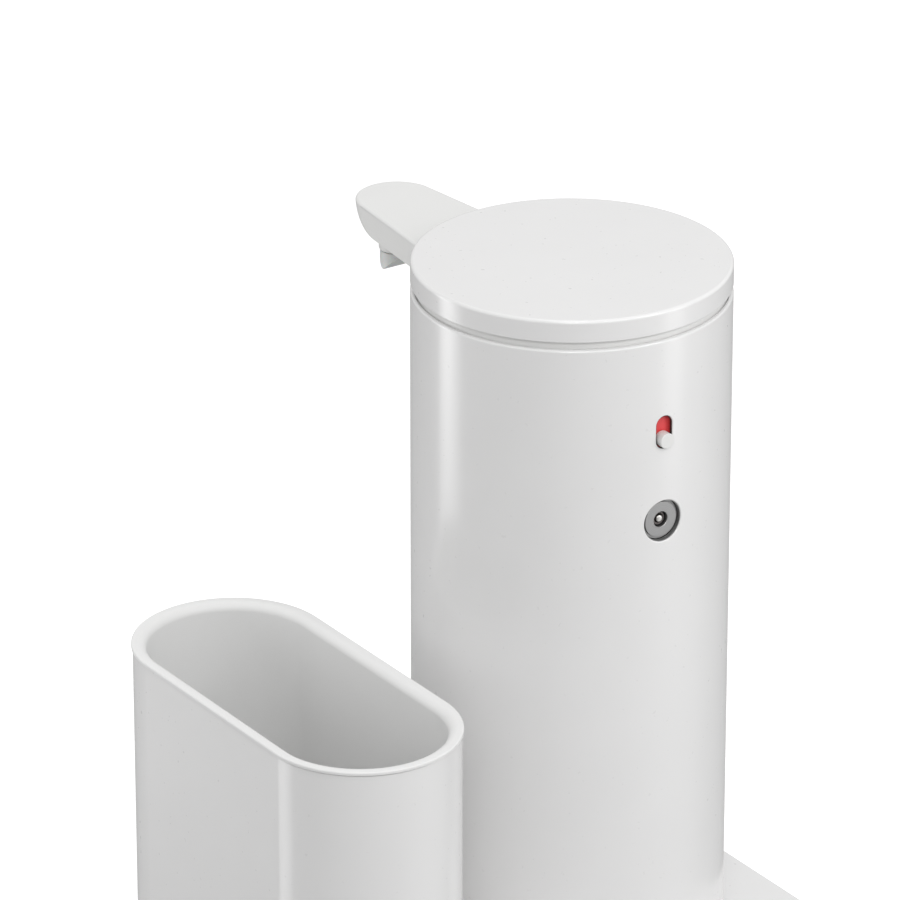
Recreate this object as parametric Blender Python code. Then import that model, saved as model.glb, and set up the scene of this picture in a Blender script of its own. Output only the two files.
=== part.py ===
"""Automatic soap dispenser standing on its caddy tray beside a brush cup.

Metres, +Z up. The origin is on the surface the caddy stands on, under the
dispenser's axis. The spout points along -Y, the cup stands at +X, and the
charging port and power switch face +Y.
"""
import math

import bmesh
import bpy
from mathutils import Matrix, Vector

MM = 0.001

# Shared fits and cutter overrun
SEAT_GAP = 0.3 * MM
OVERRUN = 3.0 * MM
WELD = 0.001 * MM

# Facets round a full turn, and along a fillet
BODY_STEPS = 48
RING_STEPS = 30
BORE_STEPS = 14
PIN_STEPS = 8
CORNER_STEPS = 5
FILLET_STEPS = 3
TUBE_SIDES = 6
ROUTE_STEPS = 3

# Caddy tray, its core and its silicone pad
TRAY_HEIGHT = 10.0 * MM
TRAY_MARGIN = 14.9 * MM
TRAY_DEPTH = 113.8 * MM
TRAY_CORNER = 21.0 * MM
TRAY_SHEET = 1.2 * MM
TRAY_FILLET = 0.8 * MM
TRAY_SKIRT_LIFT = 1.0 * MM
PAD_THICKNESS = 1.5 * MM
PAD_INSET = 4.0 * MM
CORE_WEB = 2.4 * MM
CORE_RIM_WIDTH = 9.0 * MM
CORE_RIB = 2.4 * MM
CORE_BOSS_RADIUS = 4.5 * MM
CORE_POCKETS_ALONG = 3
CORE_POCKETS_ACROSS = 2

# Cup beside the dispenser: steel sleeve and lift-out liner
CUP_SPACING = 17.7 * MM
CUP_HEIGHT = 91.4 * MM
CUP_STRAIGHT = 61.0 * MM
CUP_EDGE_SETBACK = 0.8 * MM
LIP_RADIUS = 26.0 * MM
LIP_OVERHANG = 0.4 * MM
LIP_THICKNESS = 0.9 * MM
LIP_FLAT = 1.6 * MM
SLEEVE_SHEET = 1.0 * MM
LINER_WALL = 2.3 * MM
LINER_FLOOR = 2.5 * MM
LINER_FLOOR_FILLET = 4.0 * MM
LINER_LIFT_OFF = 1.2 * MM
CUP_SCREW_SHARE = 0.5

# Dispenser shell
BODY_RADIUS = 41.5 * MM
BODY_SHEET = 0.9 * MM
BODY_LIFT = 0.9 * MM
DISPENSER_HEIGHT = 189.0 * MM
RIM_FILLET = 0.7 * MM
REVEAL = 2.2 * MM
NECK_SETBACK = 2.0 * MM
NECK_FLANGE = 1.3 * MM
NECK_WIDTH = 4.0 * MM

# Lid: steel cap, moulded plug and silicone gasket
LID_THICKNESS = 5.9 * MM
LID_FILLET = 0.9 * MM
LID_TOP_WALL = 1.8 * MM
LID_SKIRT = 2.4 * MM
PLUG_DEPTH = 7.1 * MM
PLUG_CLEARANCE = 0.6 * MM
GASKET_HEIGHT = 1.6 * MM
GASKET_DEPTH = 1.0 * MM
GASKET_DROP = 1.2 * MM

# Foot and base cover
FOOT_PROUD = 1.0 * MM
FOOT_THICKNESS = 2.0 * MM
FOOT_SETBACK = 3.3 * MM
FOOT_WIDTH = 6.0 * MM
BASE_THICKNESS = 4.0 * MM

# Chassis inside the shell
CHASSIS_WALL = 1.8 * MM
CHASSIS_LEDGE = 3.0 * MM
LEDGE_THICKNESS = 2.0 * MM
BOSS_RADIUS = 3.4 * MM
BOSS_SETBACK = 2.9 * MM
BOSS_FIRST_ANGLE = math.radians(90.0)
BOSS_COUNT = 3
CABLE_NOTCH_RADIUS = 6.0 * MM

# Soap tank and filling funnel
TANK_CELL_ROOM = 15.5 * MM
TANK_PUMP_ROOM = 19.0 * MM
TANK_WALL = 1.8 * MM
TANK_BOARD_ROOM = 3.0 * MM
TANK_CORNER = 5.0 * MM
RISER_GROOVE_RADIUS = 12.0 * MM
RISER_GROOVE_OFFSET = 3.8 * MM
RISER_GROOVE_LIP = 3.0 * MM
FUNNEL_DEPTH = 8.7 * MM
FUNNEL_FLOOR = 1.6 * MM
MOUTH_SETBACK = 11.2 * MM
MOUTH_LAND = 3.6 * MM
MOUTH_SLOPE_WIDTH = 8.0 * MM
OUTLET_X = 16.0 * MM
OUTLET_FRONT = 11.0 * MM
OUTLET_RADIUS = 3.4 * MM
OUTLET_LENGTH = 7.0 * MM

# Spout
SPOUT_DROP = 10.0 * MM
SPOUT_DEPTH = 7.7 * MM
SPOUT_OVERHANG = 50.7 * MM
SPOUT_ROOT_HALF = 15.4 * MM
SPOUT_TAPER_SHARE = 0.109
SPOUT_FILLET = 1.0 * MM
SPOUT_WALL = 1.4 * MM
SPOUT_NOSE_STEPS = 6
SPOUT_TONGUE_HALF = 7.5 * MM
SPOUT_TONGUE_LENGTH = 5.5 * MM
SPOUT_TONGUE_DEPTH = 2.8 * MM
SPOUT_BOSS_X = 4.9 * MM
SPOUT_BOSS_RADIUS = 1.9 * MM
SPOUT_BOSS_SETBACK = 3.0 * MM
SPOUT_BOSS_LENGTH = 9.0 * MM
COVER_NOZZLE_ROOM = 5.6 * MM
COVER_THICKNESS = 1.5 * MM
COVER_PROUD = 0.4 * MM
COVER_PAD_PROUD = 0.9 * MM
COVER_PAD_LENGTH = 19.0 * MM

# Nozzle: collar and duckbill valve
NOZZLE_RADIUS = 4.9 * MM
NOZZLE_BORE = 2.4 * MM
NOZZLE_STEM_RADIUS = 3.1 * MM
NOZZLE_STEM_LENGTH = 1.0 * MM
COLLAR_LENGTH = 6.8 * MM
DUCKBILL_RADIUS = 4.6 * MM
DUCKBILL_FLANGE = 0.7 * MM
DUCKBILL_LENGTH = 4.1 * MM
DUCKBILL_WALL = 0.8 * MM
SLIT_WIDTH = 8.6 * MM
SLIT_THICKNESS = 0.9 * MM
SLIT_OPEN = 0.12 * MM
DUCKBILL_STEM_RADIUS = 3.7 * MM
DUCKBILL_STEM_LENGTH = 1.6 * MM

# Sensor under the spout
WINDOW_LENGTH = 10.0 * MM
WINDOW_WIDTH = 12.0 * MM
WINDOW_THICKNESS = 1.0 * MM
WINDOW_SETBACK = 5.0 * MM
SENSOR_RADIUS = 1.5 * MM
SENSOR_DOME_SHARE = 0.7
SENSOR_PITCH = 5.6 * MM
SENSOR_BOARD_THICKNESS = 0.8 * MM

# Power switch at the back
SWITCH_DROP = 33.5 * MM
SLOT_HEIGHT = 9.0 * MM
SLOT_WIDTH = 5.0 * MM
BUTTON_RADIUS = 2.05 * MM
BUTTON_PROUD = 1.4 * MM
SWITCH_TRAVEL = 4.0 * MM
SLIDE_PLATE_RECESS = 1.6 * MM
SLIDE_PLATE_THICKNESS = 1.0 * MM
SLIDE_PLATE_HALF_WIDTH = 3.6 * MM
SLIDE_PLATE_MARGIN = 1.0 * MM
SWITCH_BODY_HALF_WIDTH = 4.6 * MM
SWITCH_BODY_HEIGHT = 13.0 * MM
SWITCH_NUB_HALF = 1.2 * MM
BUTTON_EDGE = 0.35 * MM

# Charging port at the back
PORT_DROP = 58.2 * MM
PORT_RADIUS = 5.7 * MM
PORT_RECESS = 1.2 * MM
PORT_DISC_RADIUS = 5.4 * MM
PORT_DISC_THICKNESS = 1.0 * MM
PORT_EYE_RADIUS = 2.1 * MM
PORT_HOUSING_RADIUS = 6.6 * MM
PORT_HOUSING_WALL = 0.9 * MM
PORT_INSULATOR_WALL = 0.5 * MM
PORT_PIN_RADIUS = 1.0 * MM
PORT_PIN_SETBACK = 0.4 * MM

# Main board behind the switch and port
BOARD_SETBACK = 11.5 * MM
BOARD_THICKNESS = 1.6 * MM
BOARD_HALF_WIDTH = 21.0 * MM
BOARD_RISE = 14.0 * MM
BOARD_TOP_DROP = 2.0 * MM
RAIL_WIDTH = 2.6 * MM
RAIL_OVERLAP = 1.6 * MM
CHIP_HEIGHT = 2.0 * MM
CHIP_SHARES = ((0.12, 0.10, 0.40, 0.16), (0.60, 0.10, 0.88, 0.16), (0.36, 0.30, 0.64, 0.46),
               (0.15, 0.60, 0.35, 0.78), (0.62, 0.58, 0.80, 0.66), (0.58, 0.78, 0.86, 0.84))

# Drive bay levels
DECK_Z = 48.0 * MM
DECK_THICKNESS = 2.0 * MM
MOTOR_RADIUS = 12.0 * MM
MOTOR_LENGTH = 29.0 * MM
MOTOR_NECK_RADIUS = 3.2 * MM
MOTOR_SHAFT_RADIUS = 1.0 * MM
MOTOR_EDGE = 1.0 * MM

# Gear train
GEAR_MODULE = 0.8 * MM
PINION_TEETH = 12
IDLER_TEETH = 32
OUTPUT_TEETH = 34
ADDENDUM_SHARE = 0.9
DEDENDUM_SHARE = 1.15
BACKLASH = 0.2 * MM
PRESSURE_ANGLE = math.radians(20.0)
GEAR_FACE = 3.0 * MM
GEAR_STACK_GAP = 1.0 * MM
AXLE_RADIUS = 1.0 * MM
AXLE_CLEARANCE = 0.15 * MM
PUMP_X = 0.0
PUMP_SETBACK = 23.5 * MM
OUTPUT_TO_IDLER_ANGLE = math.radians(115.0)
IDLER_TO_MOTOR_ANGLE = math.radians(140.0)

# Peristaltic pump
PUMP_FLOOR_Z = 61.0 * MM
PUMP_FLOOR = 2.0 * MM
PUMP_DEPTH = 13.0 * MM
RACEWAY_RADIUS = 14.6 * MM
PUMP_WALL = 2.6 * MM
PUMP_FRONT_REACH = 13.0 * MM
PUMP_FRONT_WALL = 1.3 * MM
PUMP_COVER = 2.0 * MM
PUMP_TUBE_RADIAL = 1.3 * MM
PUMP_TUBE_AXIAL = 2.6 * MM
PUMP_BORE_RADIAL = 0.45 * MM
PUMP_BORE_AXIAL = 1.3 * MM
PUMP_LEG_RADIUS = 2.6 * MM
ROLLER_COUNT = 3
ROLLER_RADIUS = 3.2 * MM
ROLLER_PIN_RADIUS = 1.0 * MM
ROTOR_DISC = 1.2 * MM
ROTOR_DISC_RADIUS = 10.2 * MM
ROTOR_HUB_RADIUS = 3.7 * MM
ROTOR_SHAFT_RADIUS = 2.0 * MM

# Soap tubes
TUBE_RADIUS = 1.75 * MM
TUBE_BORE = 1.0 * MM
TUBE_BEND = 3.4 * MM
TUBE_LEAD = 4.0 * MM
RISER_SETBACK = 3.5 * MM

# Battery
BATTERY_ANGLE = math.radians(40.7)
BATTERY_SETBACK = 1.0 * MM
BATTERY_RADIUS = 9.1 * MM
BATTERY_LENGTH = 65.0 * MM
BATTERY_BUTTON_RADIUS = 3.0 * MM
HOLDER_WALL = 1.4 * MM
HOLDER_FLOOR = 1.6 * MM
HOLDER_HEIGHT = 20.0 * MM

# Leads to the main board
LEAD_RADIUS = 0.8 * MM
BATTERY_LEAD_INSET = 5.0 * MM
BATTERY_LEAD_RISE = 3.0 * MM
MOTOR_LEAD_X = -8.0 * MM
MOTOR_LEAD_SETBACK = 8.5 * MM
MOTOR_LEAD_RISE = 6.0 * MM

# Screws
SCREW_RADIUS = 1.1 * MM
SCREW_HEAD_RADIUS = 2.1 * MM
SCREW_HEAD_HEIGHT = 1.2 * MM
SPOUT_SCREW_LENGTH = 7.0 * MM
CUP_SCREW_LENGTH = 6.0 * MM
SCREW_CLEARANCE = 0.35 * MM
SCREW_CROWN_SHARE = 0.7

# Levels and places that follow from the sizes above
LID_TOP_Z = TRAY_HEIGHT + DISPENSER_HEIGHT
LID_BOTTOM_Z = LID_TOP_Z - LID_THICKNESS
RIM_Z = LID_BOTTOM_Z - REVEAL
BODY_LOW_Z = TRAY_HEIGHT + BODY_LIFT
FOOT_LOW_Z = TRAY_HEIGHT + SEAT_GAP
BASE_LOW_Z = FOOT_LOW_Z + FOOT_PROUD
BASE_TOP_Z = BASE_LOW_Z + BASE_THICKNESS
BODY_BORE = BODY_RADIUS - BODY_SHEET
CHASSIS_RADIUS = BODY_BORE - SEAT_GAP
CHASSIS_BORE = CHASSIS_RADIUS - CHASSIS_WALL
CHASSIS_LOW_Z = BASE_TOP_Z + SEAT_GAP
FOOT_OUTER = CHASSIS_RADIUS - FOOT_SETBACK
FOOT_INNER = FOOT_OUTER - FOOT_WIDTH
BOSS_PITCH_RADIUS = CHASSIS_BORE - BOSS_SETBACK
NECK_TOP_Z = LID_BOTTOM_Z - SEAT_GAP
NECK_RADIUS = BODY_RADIUS - NECK_SETBACK
NECK_STEP_Z = RIM_Z - SEAT_GAP
NECK_LOW_Z = NECK_STEP_Z - NECK_FLANGE
SPOUT_TOP_Z = LID_TOP_Z - SPOUT_DROP
SPOUT_LOW_Z = SPOUT_TOP_Z - SPOUT_DEPTH
SPOUT_REACH = BODY_RADIUS + SPOUT_OVERHANG
SPOUT_TONGUE_END = CHASSIS_BORE - SPOUT_TONGUE_LENGTH
SPOUT_BOSS_Y = CHASSIS_BORE - SPOUT_BOSS_SETBACK
COVER_PAD_START = BODY_RADIUS + COVER_PAD_LENGTH
WINDOW_START = BODY_RADIUS + WINDOW_SETBACK
RISER_Y = CHASSIS_BORE - RISER_SETBACK
TANK_RADIUS = CHASSIS_BORE - SEAT_GAP
RISER_GROOVE_CENTRE = TANK_RADIUS + RISER_GROOVE_OFFSET
MOUTH_RADIUS = TANK_RADIUS - MOUTH_SETBACK
MOUTH_THROAT = MOUTH_RADIUS - MOUTH_SLOPE_WIDTH
FUNNEL_TOP_Z = NECK_LOW_Z - SEAT_GAP
FUNNEL_LOW_Z = FUNNEL_TOP_Z - FUNNEL_DEPTH
BOARD_Y = CHASSIS_BORE - BOARD_SETBACK
BATTERY_PITCH_RADIUS = CHASSIS_BORE - BATTERY_RADIUS - SEAT_GAP - HOLDER_WALL - BATTERY_SETBACK
BATTERY_X = BATTERY_PITCH_RADIUS * math.cos(BATTERY_ANGLE)
BATTERY_Y = BATTERY_PITCH_RADIUS * math.sin(BATTERY_ANGLE)
BATTERY_LOW_Z = BASE_TOP_Z + SEAT_GAP + HOLDER_FLOOR + SEAT_GAP
BATTERY_TOP_Z = BATTERY_LOW_Z + BATTERY_LENGTH
BATTERY_LEAD_X = BOARD_HALF_WIDTH - BATTERY_LEAD_INSET
MOTOR_LEAD_Y = CHASSIS_BORE - MOTOR_LEAD_SETBACK
SWITCH_Z = LID_TOP_Z - SWITCH_DROP
BUTTON_Z = SWITCH_Z - (SLOT_HEIGHT - SLOT_WIDTH) / 2
PORT_Z = LID_TOP_Z - PORT_DROP
CUP_X = BODY_RADIUS + CUP_SPACING + LIP_RADIUS
SLEEVE_RADIUS = LIP_RADIUS - LIP_OVERHANG
CUP_RIM_Z = TRAY_HEIGHT + CUP_HEIGHT
SLEEVE_LOW_Z = TRAY_HEIGHT + SEAT_GAP
SLEEVE_TOP_Z = CUP_RIM_Z - LIP_THICKNESS - SEAT_GAP
DECK_TOP_Z = DECK_Z + DECK_THICKNESS
OUTPUT_PITCH = OUTPUT_TEETH * GEAR_MODULE / 2
IDLER_PITCH = IDLER_TEETH * GEAR_MODULE / 2
PINION_PITCH = PINION_TEETH * GEAR_MODULE / 2
PINION_LOW_Z = DECK_TOP_Z + GEAR_STACK_GAP
SMALL_IDLER_LOW_Z = PINION_LOW_Z + GEAR_FACE
OUTPUT_LOW_Z = SMALL_IDLER_LOW_Z + GEAR_STACK_GAP
PUMP_CAVITY_Z = PUMP_FLOOR_Z + PUMP_FLOOR
PUMP_TOP_Z = PUMP_CAVITY_Z + PUMP_DEPTH
PUMP_COVER_Z = PUMP_TOP_Z + SEAT_GAP
PUMP_Y = PUMP_SETBACK - CHASSIS_BORE
TUBE_Z = PUMP_CAVITY_Z + PUMP_DEPTH / 2
TANK_FLOOR_Z = max(BATTERY_TOP_Z + TANK_CELL_ROOM, PUMP_COVER_Z + PUMP_COVER + TANK_PUMP_ROOM)
TANK_TOP_Z = FUNNEL_LOW_Z - SEAT_GAP
TANK_BACK = BOARD_Y - CHIP_HEIGHT - TANK_BOARD_ROOM
OUTLET_Y = PUMP_Y - OUTLET_FRONT
BOARD_LOW_Z = TANK_FLOOR_Z + BOARD_RISE
BOARD_HIGH_Z = TANK_TOP_Z - BOARD_TOP_DROP
TUBE_TRACK = RACEWAY_RADIUS - SEAT_GAP - PUMP_TUBE_RADIAL
ROLLER_ORBIT = TUBE_TRACK - PUMP_TUBE_RADIAL - SEAT_GAP - ROLLER_RADIUS

# Colour, roughness and metallic value of each finish
FINISHES = {
    "painted_steel": ((0.83, 0.83, 0.82, 1.0), 0.28, 0.0),
    "white_plastic": ((0.80, 0.80, 0.79, 1.0), 0.35, 0.0),
    "liner_plastic": ((0.78, 0.78, 0.77, 1.0), 0.42, 0.0),
    "clear_plastic": ((0.72, 0.78, 0.80, 1.0), 0.20, 0.0),
    "natural_plastic": ((0.70, 0.69, 0.64, 1.0), 0.45, 0.0),
    "black_plastic": ((0.02, 0.02, 0.02, 1.0), 0.40, 0.0),
    "red_plastic": ((0.60, 0.02, 0.02, 1.0), 0.45, 0.0),
    "tinted_plastic": ((0.03, 0.01, 0.02, 1.0), 0.12, 0.0),
    "silicone": ((0.55, 0.55, 0.54, 1.0), 0.60, 0.0),
    "tube_silicone": ((0.75, 0.77, 0.76, 1.0), 0.35, 0.0),
    "steel": ((0.55, 0.55, 0.56, 1.0), 0.30, 1.0),
    "brass": ((0.70, 0.50, 0.22, 1.0), 0.30, 1.0),
    "board": ((0.02, 0.16, 0.07, 1.0), 0.50, 0.0),
    "cell_wrap": ((0.05, 0.20, 0.45, 1.0), 0.35, 0.0),
}

FACING_BACK = (-math.pi / 2, 0.0, 0.0)


def clear_scene():
    for obj in list(bpy.data.objects):
        bpy.data.objects.remove(obj, do_unlink=True)


def finish_material(name, finish):
    colour, roughness, metallic = FINISHES[finish]
    material = bpy.data.materials.new(name + "_" + finish)
    material.use_nodes = True
    shader = material.node_tree.nodes["Principled BSDF"]
    shader.inputs["Base Color"].default_value = colour
    shader.inputs["Roughness"].default_value = roughness
    shader.inputs["Metallic"].default_value = metallic
    material.diffuse_color = colour
    return material


def place_mesh(name, bm, finish, place=(0.0, 0.0, 0.0), turn=(0.0, 0.0, 0.0)):
    """Weld the shape, turn its faces outwards and link it as a named object."""
    bmesh.ops.remove_doubles(bm, verts=bm.verts, dist=WELD)
    bmesh.ops.recalc_face_normals(bm, faces=bm.faces)
    mesh = bpy.data.meshes.new(name)
    bm.to_mesh(mesh)
    bm.free()
    mesh.shade_smooth()
    mesh.set_sharp_from_angle(angle=math.radians(35.0))
    obj = bpy.data.objects.new(name, mesh)
    obj.location = place
    obj.rotation_euler = turn
    bpy.context.scene.collection.objects.link(obj)
    if finish is None:
        obj.hide_render = True
        obj.display_type = "WIRE"
    else:
        mesh.materials.append(finish_material(name, finish))
    return obj


def spin_profile(bm, profile, steps, centre=(0.0, 0.0, 0.0)):
    """Turn a closed profile of (radius, height) points round the Z axis through centre."""
    middle = Vector(centre)
    corners = [bm.verts.new(middle + Vector((r, 0.0, z))) for r, z in profile]
    edges = []
    for index, (radius, _) in enumerate(profile):
        follower = (index + 1) % len(profile)
        if radius > 0.0 or profile[follower][0] > 0.0:
            edges.append(bm.edges.new((corners[index], corners[follower])))
    bmesh.ops.spin(bm, geom=corners + edges, cent=middle, axis=(0.0, 0.0, 1.0),
                   angle=2 * math.pi, steps=steps, use_merge=True)


def turned(name, profile, finish, steps=RING_STEPS, place=(0.0, 0.0, 0.0), turn=(0.0, 0.0, 0.0)):
    bm = bmesh.new()
    spin_profile(bm, profile, steps)
    return place_mesh(name, bm, finish, place, turn)


def turned_each(name, profile, places, finish, steps=PIN_STEPS):
    """Like pieces of one kind, each its own object at its own place."""
    return [turned("%s_%d" % (name, index + 1), profile, finish, steps, place)
            for index, place in enumerate(places)]


def lofted(name, sections, finish, place=(0.0, 0.0, 0.0)):
    """Skin rings of equal point count in order and cap both ends."""
    bm = bmesh.new()
    rings = [[bm.verts.new(point) for point in section] for section in sections]
    count = len(rings[0])
    for lower, upper in zip(rings, rings[1:]):
        for i in range(count):
            j = (i + 1) % count
            bm.faces.new((lower[i], lower[j], upper[j], upper[i]))
    bm.faces.new(rings[0])
    bm.faces.new(rings[-1])
    return place_mesh(name, bm, finish, place)


def prism(name, outlines, low, high, finish, place=(0.0, 0.0, 0.0), turn=(0.0, 0.0, 0.0)):
    """Extrude an outline, less any hole outlines after it, from low to high."""
    bm = bmesh.new()
    edges = []
    for outline in outlines:
        ring = [bm.verts.new((x, y, low)) for x, y in outline]
        edges += [bm.edges.new((ring[i - 1], ring[i])) for i in range(len(ring))]
    bmesh.ops.triangle_fill(bm, use_beauty=True, use_dissolve=False, edges=edges)
    extruded = bmesh.ops.extrude_face_region(bm, geom=bm.faces[:])
    moved = [item for item in extruded["geom"] if isinstance(item, bmesh.types.BMVert)]
    bmesh.ops.translate(bm, verts=moved, vec=(0.0, 0.0, high - low))
    return place_mesh(name, bm, finish, place, turn)


def block(name, low, high, finish):
    """Make a box from its lowest to its highest corner."""
    bm = bmesh.new()
    size = Vector(high) - Vector(low)
    middle = (Vector(high) + Vector(low)) / 2
    bmesh.ops.create_cube(bm, size=1.0)
    bmesh.ops.transform(bm, verts=bm.verts, matrix=Matrix.Diagonal((*size, 1.0)))
    bmesh.ops.translate(bm, verts=bm.verts, vec=middle)
    return place_mesh(name, bm, finish)


def combine(target, tool, operation):
    modifier = target.modifiers.new(operation.lower() + "_" + tool.name, "BOOLEAN")
    modifier.operation = operation
    modifier.solver = "EXACT"
    modifier.object = tool


def cut(target, *tools):
    for tool in tools:
        combine(target, tool, "DIFFERENCE")


def add(target, *tools):
    for tool in tools:
        combine(target, tool, "UNION")


def at_height(outline, z):
    return [(x, y, z) for x, y in outline]


def arc(centre, radius, start, end, steps):
    """Points on an arc from one angle to another, both ends included."""
    return [(centre[0] + radius * math.cos(start + (end - start) * i / steps),
             centre[1] + radius * math.sin(start + (end - start) * i / steps))
            for i in range(steps + 1)]


def circle(radius, steps, centre=(0.0, 0.0)):
    return arc(centre, radius, 0.0, 2 * math.pi, steps)[:-1]


def polar(centre, radius, angle):
    return (centre[0] + radius * math.cos(angle), centre[1] + radius * math.sin(angle))


def stadium(radius):
    """Outline of the cup at one radius: two half circles joined by straights along Y."""
    half = CUP_STRAIGHT / 2
    back = arc((CUP_X, half), radius, 0.0, math.pi, 2 * CORNER_STEPS)
    front = arc((CUP_X, -half), radius, math.pi, 2 * math.pi, 2 * CORNER_STEPS)
    return back + front


def tray_outline(inset):
    """Tray edge moved in by inset: round corners by the dispenser, cup ends by the cup."""
    near = -BODY_RADIUS - TRAY_MARGIN
    far_radius = SLEEVE_RADIUS + CUP_EDGE_SETBACK
    half = TRAY_DEPTH / 2
    cup_half = half - far_radius
    corner_y = half - TRAY_CORNER
    quarter = math.pi / 2
    outline = arc((CUP_X, cup_half), far_radius - inset, 0.0, quarter, CORNER_STEPS)
    outline += arc((near + TRAY_CORNER, corner_y), TRAY_CORNER - inset, quarter, 2 * quarter,
                   CORNER_STEPS)
    outline += arc((near + TRAY_CORNER, -corner_y), TRAY_CORNER - inset, 2 * quarter, 3 * quarter,
                   CORNER_STEPS)
    outline += arc((CUP_X, -cup_half), far_radius - inset, 3 * quarter, 4 * quarter, CORNER_STEPS)
    return outline


def grooved_outline(inset, back=None):
    """Circle of the tank moved in by inset, with the riser groove at the front.

    With back given, the circle is cut off flat there and its corners are rounded.
    """
    radius = TANK_RADIUS - inset
    groove = RISER_GROOVE_RADIUS + inset
    lip = RISER_GROOVE_LIP - inset
    centre = RISER_GROOVE_CENTRE
    lip_y = ((groove + lip) ** 2 - (radius - lip) ** 2 - centre ** 2) / (2 * centre)
    lip_x = math.sqrt((radius - lip) ** 2 - lip_y ** 2)
    groove_angle = math.atan2(lip_y + centre, lip_x)
    outer_angle = math.atan2(lip_y, lip_x)
    right = arc((lip_x, lip_y), lip, groove_angle + math.pi, 2 * math.pi + outer_angle, 4)
    if back is None:
        right += arc((0.0, 0.0), radius, outer_angle, math.pi / 2, 2 * CORNER_STEPS)[1:-1]
    else:
        corner = TANK_CORNER - inset
        corner_y = back - inset - corner
        corner_x = math.sqrt((radius - corner) ** 2 - corner_y ** 2)
        corner_angle = math.atan2(corner_y, corner_x)
        right += arc((0.0, 0.0), radius, outer_angle, corner_angle, 2 * CORNER_STEPS)[1:-1]
        right += arc((corner_x, corner_y), corner, corner_angle, math.pi / 2, 4)
    left = [(-x, y) for x, y in reversed(right)]
    floor = arc((0.0, -centre), groove, math.pi - groove_angle, groove_angle, 8)[1:-1]
    top = [(0.0, radius)] if back is None else []
    return right + top + left + floor


def spout_outline(inset, setback=0.0, back=0.0, reach=SPOUT_REACH, end_steps=16):
    """Spout plan: two tapering sides and the round end that touches both."""
    slope = math.atan(SPOUT_TAPER_SHARE)
    tip = reach - inset - setback
    side = SPOUT_ROOT_HALF - inset / math.cos(slope)
    end_radius = (math.cos(slope) * (side - SPOUT_TAPER_SHARE * (tip - BODY_RADIUS))
                  / (1 - SPOUT_TAPER_SHARE * math.cos(slope)))
    end = arc((0.0, -tip + end_radius), end_radius, -slope, slope - math.pi, end_steps)
    root = side + SPOUT_TAPER_SHARE * (BODY_RADIUS - back)
    return [(-root, -back), (root, -back)] + end


def spout_end_centre():
    """Distance from the dispenser's axis to the centre of the spout's round end."""
    slope = math.atan(SPOUT_TAPER_SHARE)
    side = SPOUT_ROOT_HALF - SPOUT_TAPER_SHARE * (SPOUT_REACH - BODY_RADIUS)
    return SPOUT_REACH - math.cos(slope) * side / (1 - SPOUT_TAPER_SHARE * math.cos(slope))


def cover_end():
    """Distance from the dispenser's axis to the front of the opening under the spout."""
    return spout_end_centre() - COVER_NOZZLE_ROOM


def smooth_route(points, steps):
    """Centripetal curve through the points, with steps samples in each span."""
    knots = [Vector(p) for p in points]
    knots = [2 * knots[0] - knots[1]] + knots + [2 * knots[-1] - knots[-2]]
    route = []
    for a, b, c, d in zip(knots, knots[1:], knots[2:], knots[3:]):
        for i in range(steps):
            t = i / steps
            route.append(0.5 * (2 * b + (c - a) * t + (2 * a - 5 * b + 4 * c - d) * t ** 2
                                + (3 * b - a - 3 * c + d) * t ** 3))
    return route + [knots[-2]]


def hose(name, route, half_sizes, bore_sizes, finish, sides=TUBE_SIDES):
    """Sweep a tube along a route; sizes are half its width (level, upright), bore may be None."""
    bm = bmesh.new()
    upright = Vector((0.0, 0.0, 1.0))
    rings = {sizes: [] for sizes in (half_sizes, bore_sizes) if sizes}
    heading = (route[1] - route[0]).normalized()
    level = upright.cross(heading)
    level = Vector((1.0, 0.0, 0.0)) if level.length < 0.5 else level.normalized()
    for index, point in enumerate(route):
        ahead = route[min(index + 1, len(route) - 1)] - route[max(index - 1, 0)]
        heading = ahead.normalized()
        level = (level - heading * level.dot(heading)).normalized()
        rise = heading.cross(level)
        for sizes in rings:
            ring = []
            for side in range(sides):
                angle = 2 * math.pi * (side + 0.5) / sides
                offset = level * (sizes[0] * math.cos(angle)) + rise * (sizes[1] * math.sin(angle))
                ring.append(bm.verts.new(point + offset))
            rings[sizes].append(ring)
    for skin in rings.values():
        for first, second in zip(skin, skin[1:]):
            for i in range(sides):
                bm.faces.new((first[i - 1], first[i], second[i], second[i - 1]))
    outer, inner = rings[half_sizes], rings.get(bore_sizes)
    for end in (0, -1):
        if inner is None:
            bm.faces.new(outer[end])
            continue
        for i in range(sides):
            bm.faces.new((outer[end][i - 1], outer[end][i], inner[end][i], inner[end][i - 1]))
    return place_mesh(name, bm, finish)


def fillet_levels(radius):
    """Pairs of (drop, inset) down a quarter-round edge, from its flat top to its wall."""
    levels = []
    for i in range(FILLET_STEPS + 1):
        angle = math.pi / 2 * (1 - i / FILLET_STEPS)
        levels.append((radius * (1 - math.sin(angle)), radius * (1 - math.cos(angle))))
    return levels


def involute(radius, base):
    if radius <= base:
        return 0.0
    return math.sqrt((radius / base) ** 2 - 1) - math.acos(base / radius)


def gear_outline(teeth, phase=0.0):
    """Spur gear: radial roots and involute flanks, one tooth centred on the phase angle."""
    pitch = teeth * GEAR_MODULE / 2
    base = pitch * math.cos(PRESSURE_ANGLE)
    tip = pitch + ADDENDUM_SHARE * GEAR_MODULE
    root = pitch - DEDENDUM_SHARE * GEAR_MODULE
    half_tooth = (math.pi * GEAR_MODULE - BACKLASH) / 4 / pitch
    flank = [root, tip]
    outline = []
    for tooth in range(teeth):
        middle = phase + 2 * math.pi * tooth / teeth
        spread = [half_tooth + involute(pitch, base) - involute(r, base) for r in flank]
        side = list(zip(flank, spread))
        outline += [polar((0.0, 0.0), r, middle - a) for r, a in side]
        outline += [polar((0.0, 0.0), r, middle + a) for r, a in reversed(side)]
    return outline


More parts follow.
